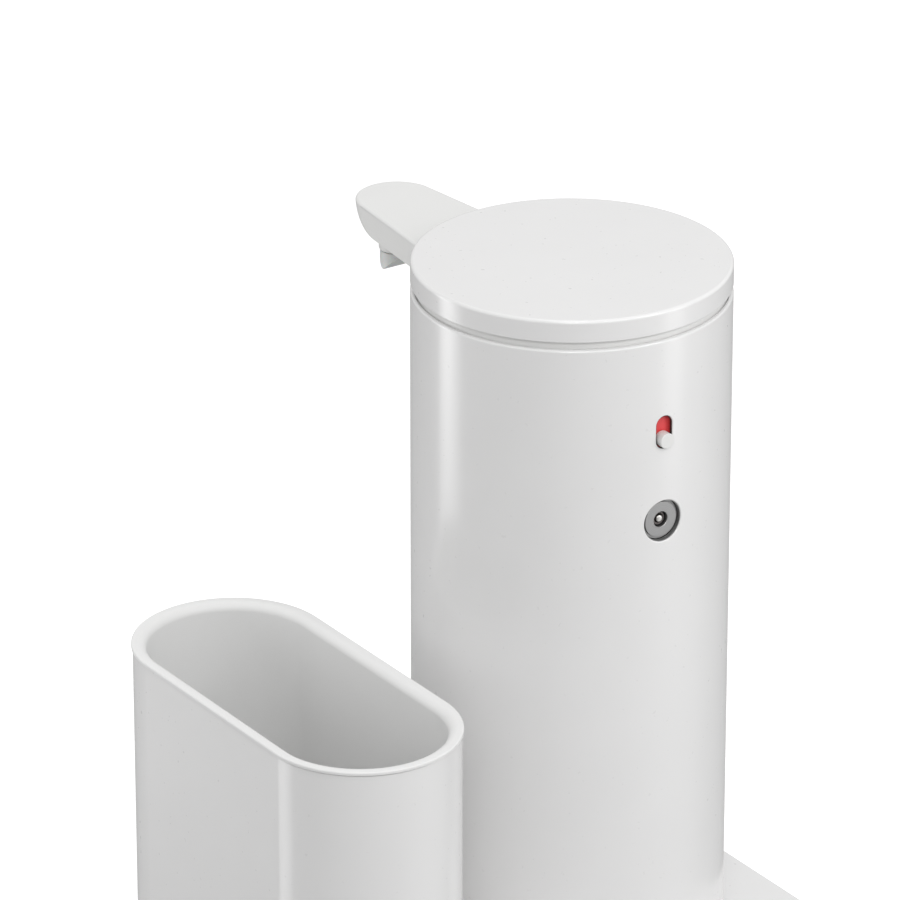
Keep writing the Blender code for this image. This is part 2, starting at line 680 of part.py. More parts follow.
def screw_profile(length):
    """Pan head standing on the seat at height 0, shank below it."""
    return [(0.0, SCREW_HEAD_HEIGHT), (SCREW_HEAD_RADIUS * SCREW_CROWN_SHARE, SCREW_HEAD_HEIGHT),
            (SCREW_HEAD_RADIUS, 0.0), (SCREW_RADIUS, 0.0), (SCREW_RADIUS, -length), (0.0, -length)]


def flipped(profile):
    return [(r, -z) for r, z in profile]


def ring_profile(inner, outer, low, high):
    return [(inner, low), (outer, low), (outer, high), (inner, high)]


def rod_profile(radius, low, high):
    return [(0.0, low), (radius, low), (radius, high), (0.0, high)]


def hole_cutter(name, radius, place, low, high, turn=(0.0, 0.0, 0.0), steps=BORE_STEPS):
    return turned(name, rod_profile(radius, low, high), None, steps, place, turn)


# Caddy

def cup_screw_places():
    reach = CUP_STRAIGHT / 2 * CUP_SCREW_SHARE
    return [(CUP_X, side * reach) for side in (-1, 1)]


def build_caddy_pad():
    prism("caddy_pad", [tray_outline(PAD_INSET)], 0.0, PAD_THICKNESS, "silicone")


def build_tray_core():
    """Moulding under the steel: a web on top, pockets between ribs below, and screw bosses."""
    edge = TRAY_SHEET + SEAT_GAP
    low = PAD_THICKNESS + SEAT_GAP
    high = TRAY_HEIGHT - TRAY_SHEET - SEAT_GAP
    core = prism("tray_core", [tray_outline(edge)], low, high, "natural_plastic")
    start_x = -BODY_RADIUS - TRAY_MARGIN + edge + CORE_RIM_WIDTH
    end_x = CUP_X + SLEEVE_RADIUS + CUP_EDGE_SETBACK - edge - CORE_RIM_WIDTH
    half_y = TRAY_DEPTH / 2 - edge - CORE_RIM_WIDTH
    pitch_x = (end_x - start_x + CORE_RIB) / CORE_POCKETS_ALONG
    pitch_y = (2 * half_y + CORE_RIB) / CORE_POCKETS_ACROSS
    for column in range(CORE_POCKETS_ALONG):
        for row in range(CORE_POCKETS_ACROSS):
            x = start_x + column * pitch_x
            y = -half_y + row * pitch_y
            cut(core, block("core_pocket_%d_%d" % (column, row), (x, y, low - OVERRUN),
                            (x + pitch_x - CORE_RIB, y + pitch_y - CORE_RIB, high - CORE_WEB), None))
    for index, place in enumerate(cup_screw_places()):
        add(core, hole_cutter("core_boss_%d" % index, CORE_BOSS_RADIUS, (*place, 0.0),
                              low + SEAT_GAP, high - CORE_WEB / 2))
        cut(core, hole_cutter("core_bore_%d" % index, SCREW_RADIUS + SCREW_CLEARANCE,
                              (*place, 0.0), low - OVERRUN, high + OVERRUN, steps=PIN_STEPS))


def build_tray():
    """Pressed steel tray: flat top, rolled edge and a skirt that stops above the surface."""
    inner = tray_outline(TRAY_SHEET)
    outer = tray_outline(0.0)
    under = TRAY_HEIGHT - TRAY_SHEET
    sections = [at_height(inner, under), at_height(inner, TRAY_SKIRT_LIFT),
                at_height(outer, TRAY_SKIRT_LIFT)]
    for drop, inset in reversed(fillet_levels(TRAY_FILLET)):
        sections.append(at_height(tray_outline(inset), TRAY_HEIGHT - drop))
    tray = lofted("caddy_tray", sections, "painted_steel")
    for index, place in enumerate(cup_screw_places()):
        cut(tray, hole_cutter("tray_screw_hole_%d" % index, SCREW_RADIUS + SCREW_CLEARANCE,
                              (*place, under), -OVERRUN, TRAY_SHEET + OVERRUN, steps=PIN_STEPS))


def build_cup_sleeve():
    """Drawn steel cup, open at the top, screwed down through its floor."""
    inner = stadium(SLEEVE_RADIUS - SLEEVE_SHEET)
    outer = stadium(SLEEVE_RADIUS)
    floor_z = SLEEVE_LOW_Z + SLEEVE_SHEET
    sections = [at_height(outer, SLEEVE_LOW_Z), at_height(outer, SLEEVE_TOP_Z),
                at_height(inner, SLEEVE_TOP_Z), at_height(inner, floor_z)]
    sleeve = lofted("cup_sleeve", sections, "painted_steel")
    for index, place in enumerate(cup_screw_places()):
        cut(sleeve, hole_cutter("sleeve_screw_hole_%d" % index, SCREW_RADIUS + SCREW_CLEARANCE,
                                (*place, floor_z), -SLEEVE_SHEET - OVERRUN, OVERRUN,
                                steps=PIN_STEPS))
    seat = floor_z + SEAT_GAP
    turned_each("cup_screw", screw_profile(CUP_SCREW_LENGTH),
                [(*place, seat) for place in cup_screw_places()], "steel")


def build_cup_liner():
    """Lift-out liner: rounded lip resting on the sleeve, rolled mouth and filleted floor."""
    outer_radius = SLEEVE_RADIUS - SLEEVE_SHEET - SEAT_GAP
    inner_radius = outer_radius - LINER_WALL
    mouth_roll = LIP_RADIUS - LIP_FLAT - inner_radius
    low = SLEEVE_LOW_Z + SLEEVE_SHEET + SEAT_GAP + SCREW_HEAD_HEIGHT + LINER_LIFT_OFF
    floor_z = low + LINER_FLOOR
    lip_low = CUP_RIM_Z - LIP_THICKNESS
    levels = [(outer_radius - LINER_FLOOR_FILLET / 2, low),
              (outer_radius, low + LINER_FLOOR_FILLET / 2),
              (outer_radius, lip_low), (LIP_RADIUS, lip_low)]
    edge = LIP_THICKNESS / 2
    levels += [(LIP_RADIUS - inset, CUP_RIM_Z - drop) for drop, inset in reversed(fillet_levels(edge))]
    levels += [(inner_radius + mouth_roll - travel, CUP_RIM_Z - drop)
               for drop, travel in mouth_levels(mouth_roll)]
    levels += [(inner_radius - inset, floor_z + drop) for drop, inset in
               reversed(fillet_levels(LINER_FLOOR_FILLET))]
    sections = [at_height(stadium(radius), z) for radius, z in levels]
    lofted("cup_liner", sections, "liner_plastic")


def mouth_levels(radius):
    """Pairs of (drop, travel) over the rolled mouth, from the lip's flat to the inner wall."""
    return [(radius * (1 - math.cos(math.pi / 2 * i / FILLET_STEPS)),
             radius * math.sin(math.pi / 2 * i / FILLET_STEPS)) for i in range(FILLET_STEPS + 1)]


# Dispenser shell, base and lid

def build_foot_and_base():
    turned("foot_ring", ring_profile(FOOT_INNER, FOOT_OUTER, FOOT_LOW_Z,
                                     FOOT_LOW_Z + FOOT_THICKNESS), "silicone")
    groove_z = FOOT_LOW_Z + FOOT_THICKNESS + SEAT_GAP
    profile = [(0.0, BASE_LOW_Z), (FOOT_INNER - SEAT_GAP, BASE_LOW_Z),
               (FOOT_INNER - SEAT_GAP, groove_z), (FOOT_OUTER + SEAT_GAP, groove_z),
               (FOOT_OUTER + SEAT_GAP, BASE_LOW_Z), (CHASSIS_RADIUS, BASE_LOW_Z),
               (CHASSIS_RADIUS, BASE_TOP_Z), (0.0, BASE_TOP_Z)]
    base = turned("base_cover", profile, "white_plastic")
    seat = groove_z + SCREW_HEAD_HEIGHT + SEAT_GAP
    sink_radius = SCREW_HEAD_RADIUS + SEAT_GAP
    hole_radius = SCREW_RADIUS + SCREW_CLEARANCE
    sink = [(0.0, BASE_LOW_Z), (sink_radius, BASE_LOW_Z), (sink_radius, seat + SEAT_GAP),
            (hole_radius, seat + SEAT_GAP), (hole_radius, BASE_TOP_Z + OVERRUN),
            (0.0, BASE_TOP_Z + OVERRUN)]
    for index, place in enumerate(boss_places()):
        cut(base, turned("base_screw_sink_%d" % index, sink, None, PIN_STEPS, (*place, 0.0)))
    length = DECK_Z + DECK_THICKNESS / 2 - seat
    turned_each("base_screw", flipped(screw_profile(length)),
                [(*place, seat) for place in boss_places()], "steel")


def boss_places():
    return [polar((0.0, 0.0), BOSS_PITCH_RADIUS, BOSS_FIRST_ANGLE + 2 * math.pi * i / BOSS_COUNT)
            for i in range(BOSS_COUNT)]


def spout_opening(name):
    """Cutter with the spout's own section, opened by the seat gap all round."""
    outline = spout_outline(-SEAT_GAP, back=SPOUT_TONGUE_END)
    return prism(name, [outline], SPOUT_LOW_Z - SEAT_GAP, SPOUT_TOP_Z + SEAT_GAP, None)


def obround(width, height, steps=PIN_STEPS):
    """Upright slot outline about the origin, width across and height end to end."""
    radius = width / 2
    reach = height / 2 - radius
    return (arc((0.0, reach), radius, 0.0, math.pi, steps // 2)
            + arc((0.0, -reach), radius, math.pi, 2 * math.pi, steps // 2))


def build_body_sleeve():
    """Painted steel tube with a rounded rim, opened for the spout, switch and charging port."""
    profile = [(BODY_BORE, BODY_LOW_Z), (BODY_RADIUS, BODY_LOW_Z)]
    profile += [(BODY_RADIUS - inset, RIM_Z - drop)
                for drop, inset in reversed(fillet_levels(RIM_FILLET))]
    profile += [(BODY_BORE, RIM_Z)]
    sleeve = turned("body_sleeve", profile, "painted_steel", BODY_STEPS)
    slot = prism("switch_slot_cutter", [obround(SLOT_WIDTH, SLOT_HEIGHT)], 0.0,
                 BODY_RADIUS + OVERRUN, None, (0.0, 0.0, SWITCH_Z), FACING_BACK)
    port = hole_cutter("port_hole_cutter", PORT_RADIUS, (0.0, 0.0, PORT_Z), 0.0,
                       BODY_RADIUS + OVERRUN, FACING_BACK, 2 * BORE_STEPS)
    cut(sleeve, spout_opening("sleeve_spout_opening"), slot, port)


def build_neck_ring():
    inner = NECK_RADIUS - NECK_WIDTH
    profile = [(inner, NECK_LOW_Z), (CHASSIS_RADIUS, NECK_LOW_Z), (CHASSIS_RADIUS, NECK_STEP_Z),
               (NECK_RADIUS, NECK_STEP_Z), (NECK_RADIUS, NECK_TOP_Z), (inner, NECK_TOP_Z)]
    turned("neck_ring", profile, "white_plastic")


def build_lid():
    """Steel cap over a moulded plug whose gasket seals the filling mouth."""
    recess = LID_TOP_Z - LID_TOP_WALL
    skirt_bore = BODY_RADIUS - LID_SKIRT
    profile = [(0.0, recess), (skirt_bore, recess), (skirt_bore, LID_BOTTOM_Z),
               (BODY_RADIUS, LID_BOTTOM_Z)]
    profile += [(BODY_RADIUS - inset, LID_TOP_Z - drop)
                for drop, inset in reversed(fillet_levels(LID_FILLET))]
    profile += [(0.0, LID_TOP_Z)]
    turned("lid_cap", profile, "painted_steel", BODY_STEPS)

    plug_radius = MOUTH_RADIUS - PLUG_CLEARANCE
    plug_low = LID_BOTTOM_Z - PLUG_DEPTH
    groove_low = plug_low + GASKET_DROP
    groove_high = groove_low + GASKET_HEIGHT + 2 * SEAT_GAP
    groove_radius = plug_radius - GASKET_DEPTH
    flange_low = LID_BOTTOM_Z + SEAT_GAP
    profile = [(0.0, plug_low), (plug_radius, plug_low), (plug_radius, groove_low),
               (groove_radius, groove_low), (groove_radius, groove_high),
               (plug_radius, groove_high), (plug_radius, flange_low),
               (skirt_bore - SEAT_GAP, flange_low), (skirt_bore - SEAT_GAP, recess - SEAT_GAP),
               (0.0, recess - SEAT_GAP)]
    turned("lid_plug", profile, "white_plastic")
    turned("lid_gasket", ring_profile(groove_radius + SEAT_GAP, MOUTH_RADIUS - SEAT_GAP,
                                      groove_low + SEAT_GAP, groove_high - SEAT_GAP), "silicone")


def build_chassis():
    """Inner tube that carries everything: ledge for the tank, bosses, rails and spout posts."""
    ledge_top = TANK_FLOOR_Z - SEAT_GAP
    ledge_low = ledge_top - LEDGE_THICKNESS
    ledge_bore = CHASSIS_BORE - CHASSIS_LEDGE
    profile = [(CHASSIS_BORE, CHASSIS_LOW_Z), (CHASSIS_RADIUS, CHASSIS_LOW_Z),
               (CHASSIS_RADIUS, FUNNEL_TOP_Z), (CHASSIS_BORE, FUNNEL_TOP_Z),
               (CHASSIS_BORE, ledge_top), (ledge_bore, ledge_top), (ledge_bore, ledge_low),
               (CHASSIS_BORE, ledge_low)]
    chassis = turned("chassis", profile, "natural_plastic")
    overlap = CHASSIS_WALL / 2

    for index, place in enumerate(boss_places()):
        boss = hole_cutter("chassis_boss_%d" % index, BOSS_RADIUS, (*place, 0.0),
                           CHASSIS_LOW_Z + SEAT_GAP, DECK_Z - SEAT_GAP)
        bore = hole_cutter("chassis_boss_bore_%d" % index, SCREW_RADIUS + SCREW_CLEARANCE,
                           (*place, 0.0), CHASSIS_LOW_Z - OVERRUN, DECK_Z + OVERRUN,
                           steps=PIN_STEPS)
        add(chassis, boss)
        cut(chassis, bore)

    rail_x = BOARD_HALF_WIDTH - RAIL_OVERLAP
    wall_x = math.sqrt((CHASSIS_RADIUS - overlap) ** 2 - (BOARD_Y + BOARD_THICKNESS) ** 2)
    for side in (-1, 1):
        ends = sorted((side * rail_x, side * wall_x))
        rail = block("board_rail_%d" % (side + 1),
                     (ends[0], BOARD_Y - RAIL_WIDTH, BOARD_LOW_Z - RAIL_WIDTH),
                     (ends[1], BOARD_Y + BOARD_THICKNESS, BOARD_HIGH_Z), None)
        add(chassis, rail)
    slot = block("board_slot", (-BOARD_HALF_WIDTH - SEAT_GAP, BOARD_Y - SEAT_GAP, BOARD_LOW_Z),
                 (BOARD_HALF_WIDTH + SEAT_GAP, BOARD_Y + BOARD_THICKNESS + OVERRUN,
                  BOARD_HIGH_Z + OVERRUN), None)
    cut(chassis, slot)

    notch = hole_cutter("riser_notch", CABLE_NOTCH_RADIUS, (0.0, -CHASSIS_BORE + overlap, 0.0),
                        ledge_low - OVERRUN, ledge_top + OVERRUN)
    port = hole_cutter("chassis_port_hole", PORT_HOUSING_RADIUS + SEAT_GAP, (0.0, 0.0, PORT_Z),
                       BOARD_Y + OVERRUN, BODY_RADIUS + OVERRUN, FACING_BACK)
    window = block("chassis_switch_window", slide_window(-1), slide_window(1), None)
    cut(chassis, notch, port, window, spout_opening("chassis_spout_opening"))

    post_top = SPOUT_TOP_Z - SPOUT_TONGUE_DEPTH - SEAT_GAP
    post_low = post_top - SPOUT_BOSS_LENGTH
    for side in (-1, 1):
        centre_x = side * SPOUT_BOSS_X
        fin = block("spout_fin_%d" % (side + 1),
                    (centre_x - SPOUT_BOSS_RADIUS, -CHASSIS_RADIUS + overlap, post_low),
                    (centre_x + SPOUT_BOSS_RADIUS, -SPOUT_BOSS_Y, SPOUT_LOW_Z - 2 * SEAT_GAP), None)
        post = hole_cutter("spout_post_%d" % (side + 1), SPOUT_BOSS_RADIUS,
                           (centre_x, -SPOUT_BOSS_Y, 0.0), post_low - SEAT_GAP, post_top,
                           steps=PIN_STEPS)
        bore = hole_cutter("spout_post_bore_%d" % (side + 1), SCREW_RADIUS + SCREW_CLEARANCE / 2,
                           (centre_x, -SPOUT_BOSS_Y, 0.0), post_low + SEAT_GAP,
                           post_top + OVERRUN, steps=PIN_STEPS)
        add(chassis, fin, post)
        cut(chassis, bore)


def slide_plate_span():
    """Lowest and highest point of the coloured plate that moves with the button."""
    low = BUTTON_Z - SLOT_WIDTH / 2 - SWITCH_TRAVEL - SLIDE_PLATE_MARGIN
    high = SWITCH_Z + SLOT_HEIGHT / 2 + SLIDE_PLATE_MARGIN
    return low, high


def slide_window(end):
    low, high = slide_plate_span()
    if end < 0:
        return (-SLIDE_PLATE_HALF_WIDTH - SEAT_GAP, BOARD_Y + BOARD_THICKNESS + OVERRUN,
                low - SEAT_GAP)
    return (SLIDE_PLATE_HALF_WIDTH + SEAT_GAP, BODY_RADIUS + OVERRUN,
            high + SWITCH_TRAVEL + SEAT_GAP)


# Tank and funnel

def build_tank():
    """Blow-moulded tank with a flat back, a riser groove at the front and a bottom outlet."""
    outer = grooved_outline(0.0, TANK_BACK)
    inner = grooved_outline(TANK_WALL, TANK_BACK)
    sections = [at_height(outer, TANK_FLOOR_Z), at_height(outer, TANK_TOP_Z),
                at_height(inner, TANK_TOP_Z), at_height(inner, TANK_FLOOR_Z + TANK_WALL)]
    tank = lofted("soap_tank", sections, "clear_plastic")
    place = (OUTLET_X, OUTLET_Y, TANK_FLOOR_Z)
    nipple = hole_cutter("tank_nipple", OUTLET_RADIUS, place, -OUTLET_LENGTH, TANK_WALL / 2)
    bore = hole_cutter("tank_outlet_bore", TUBE_RADIUS + SEAT_GAP, place,
                       -OUTLET_LENGTH - OVERRUN, TANK_WALL + OVERRUN)
    add(tank, nipple)
    cut(tank, bore)


def build_funnel():
    """Moulded deck over tank and electronics, with the round filling mouth let into it."""
    funnel = prism("fill_funnel", [grooved_outline(0.0)], FUNNEL_LOW_Z, FUNNEL_TOP_Z,
                   "white_plastic")
    land_z = FUNNEL_TOP_Z - MOUTH_LAND
    throat_z = FUNNEL_LOW_Z + FUNNEL_FLOOR
    profile = [(0.0, FUNNEL_LOW_Z - OVERRUN), (MOUTH_THROAT, FUNNEL_LOW_Z - OVERRUN),
               (MOUTH_THROAT, throat_z), (MOUTH_RADIUS, land_z),
               (MOUTH_RADIUS, FUNNEL_TOP_Z + OVERRUN), (0.0, FUNNEL_TOP_Z + OVERRUN)]
    cut(funnel, turned("mouth_cutter", profile, None))


# Spout, nozzle and sensor

def build_spout():
    """Boat-nosed spout, hollow from below, with a tongue screwed to the chassis posts."""
    levels = fillet_levels(SPOUT_FILLET)
    for step in range(1, SPOUT_NOSE_STEPS + 1):
        drop = SPOUT_DEPTH * math.sin(math.pi / 2 * step / SPOUT_NOSE_STEPS)
        if drop > SPOUT_FILLET:
            levels.append((drop, 0.0))
    sections = []
    for drop, inset in levels:
        setback = SPOUT_DEPTH - math.sqrt(max(SPOUT_DEPTH ** 2 - drop ** 2, 0.0))
        outline = spout_outline(inset, setback, back=CHASSIS_BORE)
        sections.append(at_height(outline, SPOUT_TOP_Z - drop))
    shell = lofted("spout_shell", sections, "white_plastic")

    tongue = block("spout_tongue",
                   (-SPOUT_TONGUE_HALF, -CHASSIS_BORE - OVERRUN, SPOUT_TOP_Z - SPOUT_TONGUE_DEPTH),
                   (SPOUT_TONGUE_HALF, -SPOUT_TONGUE_END, SPOUT_TOP_Z), None)
    add(shell, tongue)
    ceiling = SPOUT_TOP_Z - SPOUT_WALL
    cavity = prism("spout_cavity", [cover_outline(0.0, BODY_RADIUS)], SPOUT_LOW_Z - OVERRUN,
                   ceiling, None)
    channel_half = TUBE_RADIUS + SEAT_GAP
    channel = block("spout_channel", (-channel_half, -BODY_RADIUS - OVERRUN,
                                      SPOUT_LOW_Z - OVERRUN),
                    (channel_half, -SPOUT_TONGUE_END + OVERRUN, ceiling), None)
    centre = spout_end_centre()
    half = NOZZLE_STEM_RADIUS + SEAT_GAP
    back = OVERRUN - cover_end()
    duct = [(-half, back)] + arc((0.0, -centre), half, math.pi, 2 * math.pi, PIN_STEPS)
    duct.append((half, back))
    passage = prism("spout_duct", [duct], SPOUT_LOW_Z - OVERRUN, ceiling, None)
    root_relief = turned("spout_root_relief", rod_profile(CHASSIS_BORE + SEAT_GAP,
                         SPOUT_LOW_Z - OVERRUN, SPOUT_TOP_Z - SPOUT_TONGUE_DEPTH), None)
    cut(shell, cavity, passage, root_relief, channel)
    seat = SPOUT_TOP_Z - SCREW_HEAD_HEIGHT
    hole = SCREW_RADIUS + SCREW_CLEARANCE
    sink = SCREW_HEAD_RADIUS + SEAT_GAP
    profile = [(0.0, SPOUT_LOW_Z), (hole, SPOUT_LOW_Z), (hole, seat - SEAT_GAP),
               (sink, seat - SEAT_GAP), (sink, SPOUT_TOP_Z + OVERRUN),
               (0.0, SPOUT_TOP_Z + OVERRUN)]
    places = [(side * SPOUT_BOSS_X, -SPOUT_BOSS_Y) for side in (-1, 1)]
    for index, place in enumerate(places):
        cut(shell, turned("tongue_sink_%d" % index, profile, None, PIN_STEPS, (*place, 0.0)))
    turned_each("spout_screw", screw_profile(SPOUT_SCREW_LENGTH), [(*place, seat) for place in places],
                "steel")


def cover_outline(gap, back):
    """Plan of the opening under the spout, or of the cover that closes it with a gap."""
    sides = spout_outline(SPOUT_WALL + gap, back=back)
    root = sides[1][0]
    end = cover_end() - gap
    tip = root - SPOUT_TAPER_SHARE * (end - back)
    return [(-root, -back), (root, -back), (tip, -end), (-tip, -end)]


def build_spout_cover():
    """Cover under the spout: a thin proud plate with a thicker sensor pad near the body."""
    back = BODY_RADIUS + SEAT_GAP
    outline = cover_outline(SEAT_GAP, back)
    cover = prism("spout_under_cover", [outline], SPOUT_LOW_Z - COVER_PROUD,
                  SPOUT_LOW_Z - COVER_PROUD + COVER_THICKNESS, "white_plastic")
    pad = [point for point in outline[:2]]
    ramp = COVER_PAD_START
    half = outline[1][0] - SPOUT_TAPER_SHARE * (ramp - back)
    pad += [(half, -ramp), (-half, -ramp)]
    raised = prism("sensor_pad", [pad], SPOUT_LOW_Z - COVER_PAD_PROUD,
                   SPOUT_LOW_Z - COVER_PROUD / 2, None)
    add(cover, raised)
    window_low = SPOUT_LOW_Z - COVER_PAD_PROUD
    low = (-WINDOW_WIDTH / 2 - SEAT_GAP, -WINDOW_START - WINDOW_LENGTH - SEAT_GAP,
           window_low - OVERRUN)
    high = (WINDOW_WIDTH / 2 + SEAT_GAP, -WINDOW_START + SEAT_GAP, SPOUT_LOW_Z + OVERRUN)
    cut(cover, block("window_cutter", low, high, None))
    block("sensor_window", (-WINDOW_WIDTH / 2, -WINDOW_START - WINDOW_LENGTH, window_low),
          (WINDOW_WIDTH / 2, -WINDOW_START, window_low + WINDOW_THICKNESS), "tinted_plastic")

    board_low = SPOUT_LOW_Z - COVER_PROUD + COVER_THICKNESS + SEAT_GAP
    block("sensor_board", (-WINDOW_WIDTH / 2, -WINDOW_START - WINDOW_LENGTH, board_low),
          (WINDOW_WIDTH / 2, -WINDOW_START, board_low + SENSOR_BOARD_THICKNESS), "board")
    lens_low = window_low + WINDOW_THICKNESS + SEAT_GAP
    lens_high = board_low - SEAT_GAP
    dome = SENSOR_RADIUS * SENSOR_DOME_SHARE
    profile = [(0.0, lens_low), (dome, lens_low), (SENSOR_RADIUS, (lens_low + lens_high) / 2),
               (SENSOR_RADIUS, lens_high), (0.0, lens_high)]
    middle = -WINDOW_START - WINDOW_LENGTH / 2
    for name, side in (("ir_emitter", -1), ("ir_receiver", 1)):
        turned(name, profile, "tinted_plastic", PIN_STEPS, (side * SENSOR_PITCH / 2, middle, 0.0))


def build_nozzle():
    """Collar under the nose and the duckbill valve that closes to a slit across the spout."""
    centre = (0.0, -spout_end_centre(), 0.0)
    top = SPOUT_LOW_Z - SEAT_GAP
    low = top - COLLAR_LENGTH
    socket = DUCKBILL_STEM_LENGTH + SEAT_GAP
    profile = [(NOZZLE_BORE, low + socket), (DUCKBILL_STEM_RADIUS + SEAT_GAP, low + socket),
               (DUCKBILL_STEM_RADIUS + SEAT_GAP, low), (NOZZLE_RADIUS, low), (NOZZLE_RADIUS, top),
               (NOZZLE_STEM_RADIUS, top), (NOZZLE_STEM_RADIUS, top + NOZZLE_STEM_LENGTH),
               (NOZZLE_BORE, top + NOZZLE_STEM_LENGTH)]
    turned("nozzle_collar", profile, "white_plastic", BORE_STEPS, centre)

    flange_top = low - SEAT_GAP
    flange_low = flange_top - DUCKBILL_FLANGE
    slit_z = flange_low - DUCKBILL_LENGTH
    stem = circle(DUCKBILL_STEM_RADIUS, BORE_STEPS)
    rim = circle(DUCKBILL_RADIUS, BORE_STEPS)
    inner_stem = circle(DUCKBILL_STEM_RADIUS - DUCKBILL_WALL, BORE_STEPS)
    inner_rim = circle(DUCKBILL_RADIUS - DUCKBILL_WALL, BORE_STEPS)
    lips = slit_ring(rim, SLIT_WIDTH / 2, SLIT_THICKNESS / 2)
    inner_lips = slit_ring(inner_rim, SLIT_WIDTH / 2 - DUCKBILL_WALL, SLIT_OPEN)
    sections = [at_height(inner_lips, slit_z + DUCKBILL_WALL), at_height(inner_rim, flange_low),
                at_height(inner_stem, flange_top + DUCKBILL_STEM_LENGTH),
                at_height(stem, flange_top + DUCKBILL_STEM_LENGTH), at_height(stem, flange_top),
                at_height(rim, flange_top), at_height(rim, flange_low), at_height(lips, slit_z)]
    lofted("duckbill_valve", sections, "silicone", centre)


def slit_ring(ring, half_width, half_thickness):
    """Flatten a ring of points to the valve's slit, keeping their order."""
    reach = max(x for x, _ in ring)
    spread = max(y for _, y in ring)
    return [(x / reach * half_width, y / spread * half_thickness) for x, y in ring]


# Power switch, charging port and board

def build_switch():
    """Button and coloured plate that slide together in front of the switch body."""
    plate_face = BODY_RADIUS - SLIDE_PLATE_RECESS
    plate_back = plate_face - SLIDE_PLATE_THICKNESS
    low, high = slide_plate_span()
    plate = block("switch_plate", (-SLIDE_PLATE_HALF_WIDTH, plate_back, low),
                  (SLIDE_PLATE_HALF_WIDTH, plate_face, high), "red_plastic")
    plate.data.transform(Matrix.Translation((0.0, 0.0, -BUTTON_Z)))
    plate.location = (0.0, 0.0, BUTTON_Z)
    body_face = CHASSIS_BORE - 2 * SEAT_GAP
    nub = SWITCH_NUB_HALF
    add(plate, block("switch_nub", (-nub, body_face + SEAT_GAP, BUTTON_Z - nub),
                     (nub, plate_face - SLIDE_PLATE_THICKNESS / 2, BUTTON_Z + nub), None))
    face = BODY_RADIUS + BUTTON_PROUD
    profile = [(0.0, plate_face + SEAT_GAP), (BUTTON_RADIUS, plate_face + SEAT_GAP),
               (BUTTON_RADIUS, face - BUTTON_EDGE), (BUTTON_RADIUS - BUTTON_EDGE, face),
               (0.0, face)]
    turned("switch_button", profile, "white_plastic", BORE_STEPS, (0.0, 0.0, BUTTON_Z),
           FACING_BACK)
    block("switch_body",
          (-SWITCH_BODY_HALF_WIDTH, BOARD_Y + BOARD_THICKNESS + SEAT_GAP,
           SWITCH_Z - SWITCH_BODY_HEIGHT / 2),
          (SWITCH_BODY_HALF_WIDTH, body_face, SWITCH_Z + SWITCH_BODY_HEIGHT / 2),
          "black_plastic")


def build_port():
    """Magnetic charging port: steel disc in a black housing, magnet, insulator and pin."""
    place = (0.0, 0.0, PORT_Z)
    disc_face = BODY_RADIUS - PORT_RECESS
    disc_back = disc_face - PORT_DISC_THICKNESS
    back = BOARD_Y + BOARD_THICKNESS + SEAT_GAP
    floor = back + PORT_HOUSING_WALL
    bore = PORT_HOUSING_RADIUS - PORT_HOUSING_WALL
    rim = math.sqrt(BODY_BORE ** 2 - PORT_HOUSING_RADIUS ** 2) - SEAT_GAP
    profile = [(0.0, back), (PORT_HOUSING_RADIUS, back), (PORT_HOUSING_RADIUS, rim),
               (bore, rim), (bore, floor), (0.0, floor)]
    turned("charge_housing", profile, "black_plastic", BORE_STEPS, place, FACING_BACK)
    turned("charge_disc", ring_profile(PORT_EYE_RADIUS, PORT_DISC_RADIUS, disc_back, disc_face),
           "steel", BORE_STEPS, place, FACING_BACK)
    insulator_bore = PORT_PIN_RADIUS + SEAT_GAP
    insulator_radius = insulator_bore + PORT_INSULATOR_WALL
    turned("charge_magnet", ring_profile(insulator_radius + SEAT_GAP, bore - SEAT_GAP,
                                         floor + SEAT_GAP, disc_back - SEAT_GAP),
           "steel", BORE_STEPS, place, FACING_BACK)
    turned("charge_insulator", ring_profile(insulator_bore, insulator_radius, floor + SEAT_GAP,
                                            disc_back), "black_plastic", PIN_STEPS, place,
           FACING_BACK)
    turned("charge_pin", rod_profile(PORT_PIN_RADIUS, floor + SEAT_GAP,
                                     disc_face - PORT_PIN_SETBACK), "brass", PIN_STEPS, place,
           FACING_BACK)


def build_board():
    """Upright board in the chassis rails, its parts facing the tank's flat back."""
    low = (-BOARD_HALF_WIDTH, BOARD_Y, BOARD_LOW_Z + SEAT_GAP)
    board = block("main_board", low, (BOARD_HALF_WIDTH, BOARD_Y + BOARD_THICKNESS, BOARD_HIGH_Z),
                  "board")
    width = 2 * BOARD_HALF_WIDTH
    height = BOARD_HIGH_Z - low[2]
    for index, (left, bottom, right, top) in enumerate(CHIP_SHARES):
        add(board, block("board_part_%d" % index,
                         (low[0] + left * width, BOARD_Y - CHIP_HEIGHT, low[2] + bottom * height),
                         (low[0] + right * width, BOARD_Y + BOARD_THICKNESS / 2,
                          low[2] + top * height), None))


# Drive bay

def idler_place():
    return polar((PUMP_X, PUMP_Y), OUTPUT_PITCH + PINION_PITCH, OUTPUT_TO_IDLER_ANGLE)


def motor_place():
    return polar(idler_place(), IDLER_PITCH + PINION_PITCH, IDLER_TO_MOTOR_ANGLE)


def mesh_phase(teeth, line_angle):
    """Phase that puts a gap of the gear on the line where it meets a tooth of its mate."""
    return line_angle + math.pi / teeth


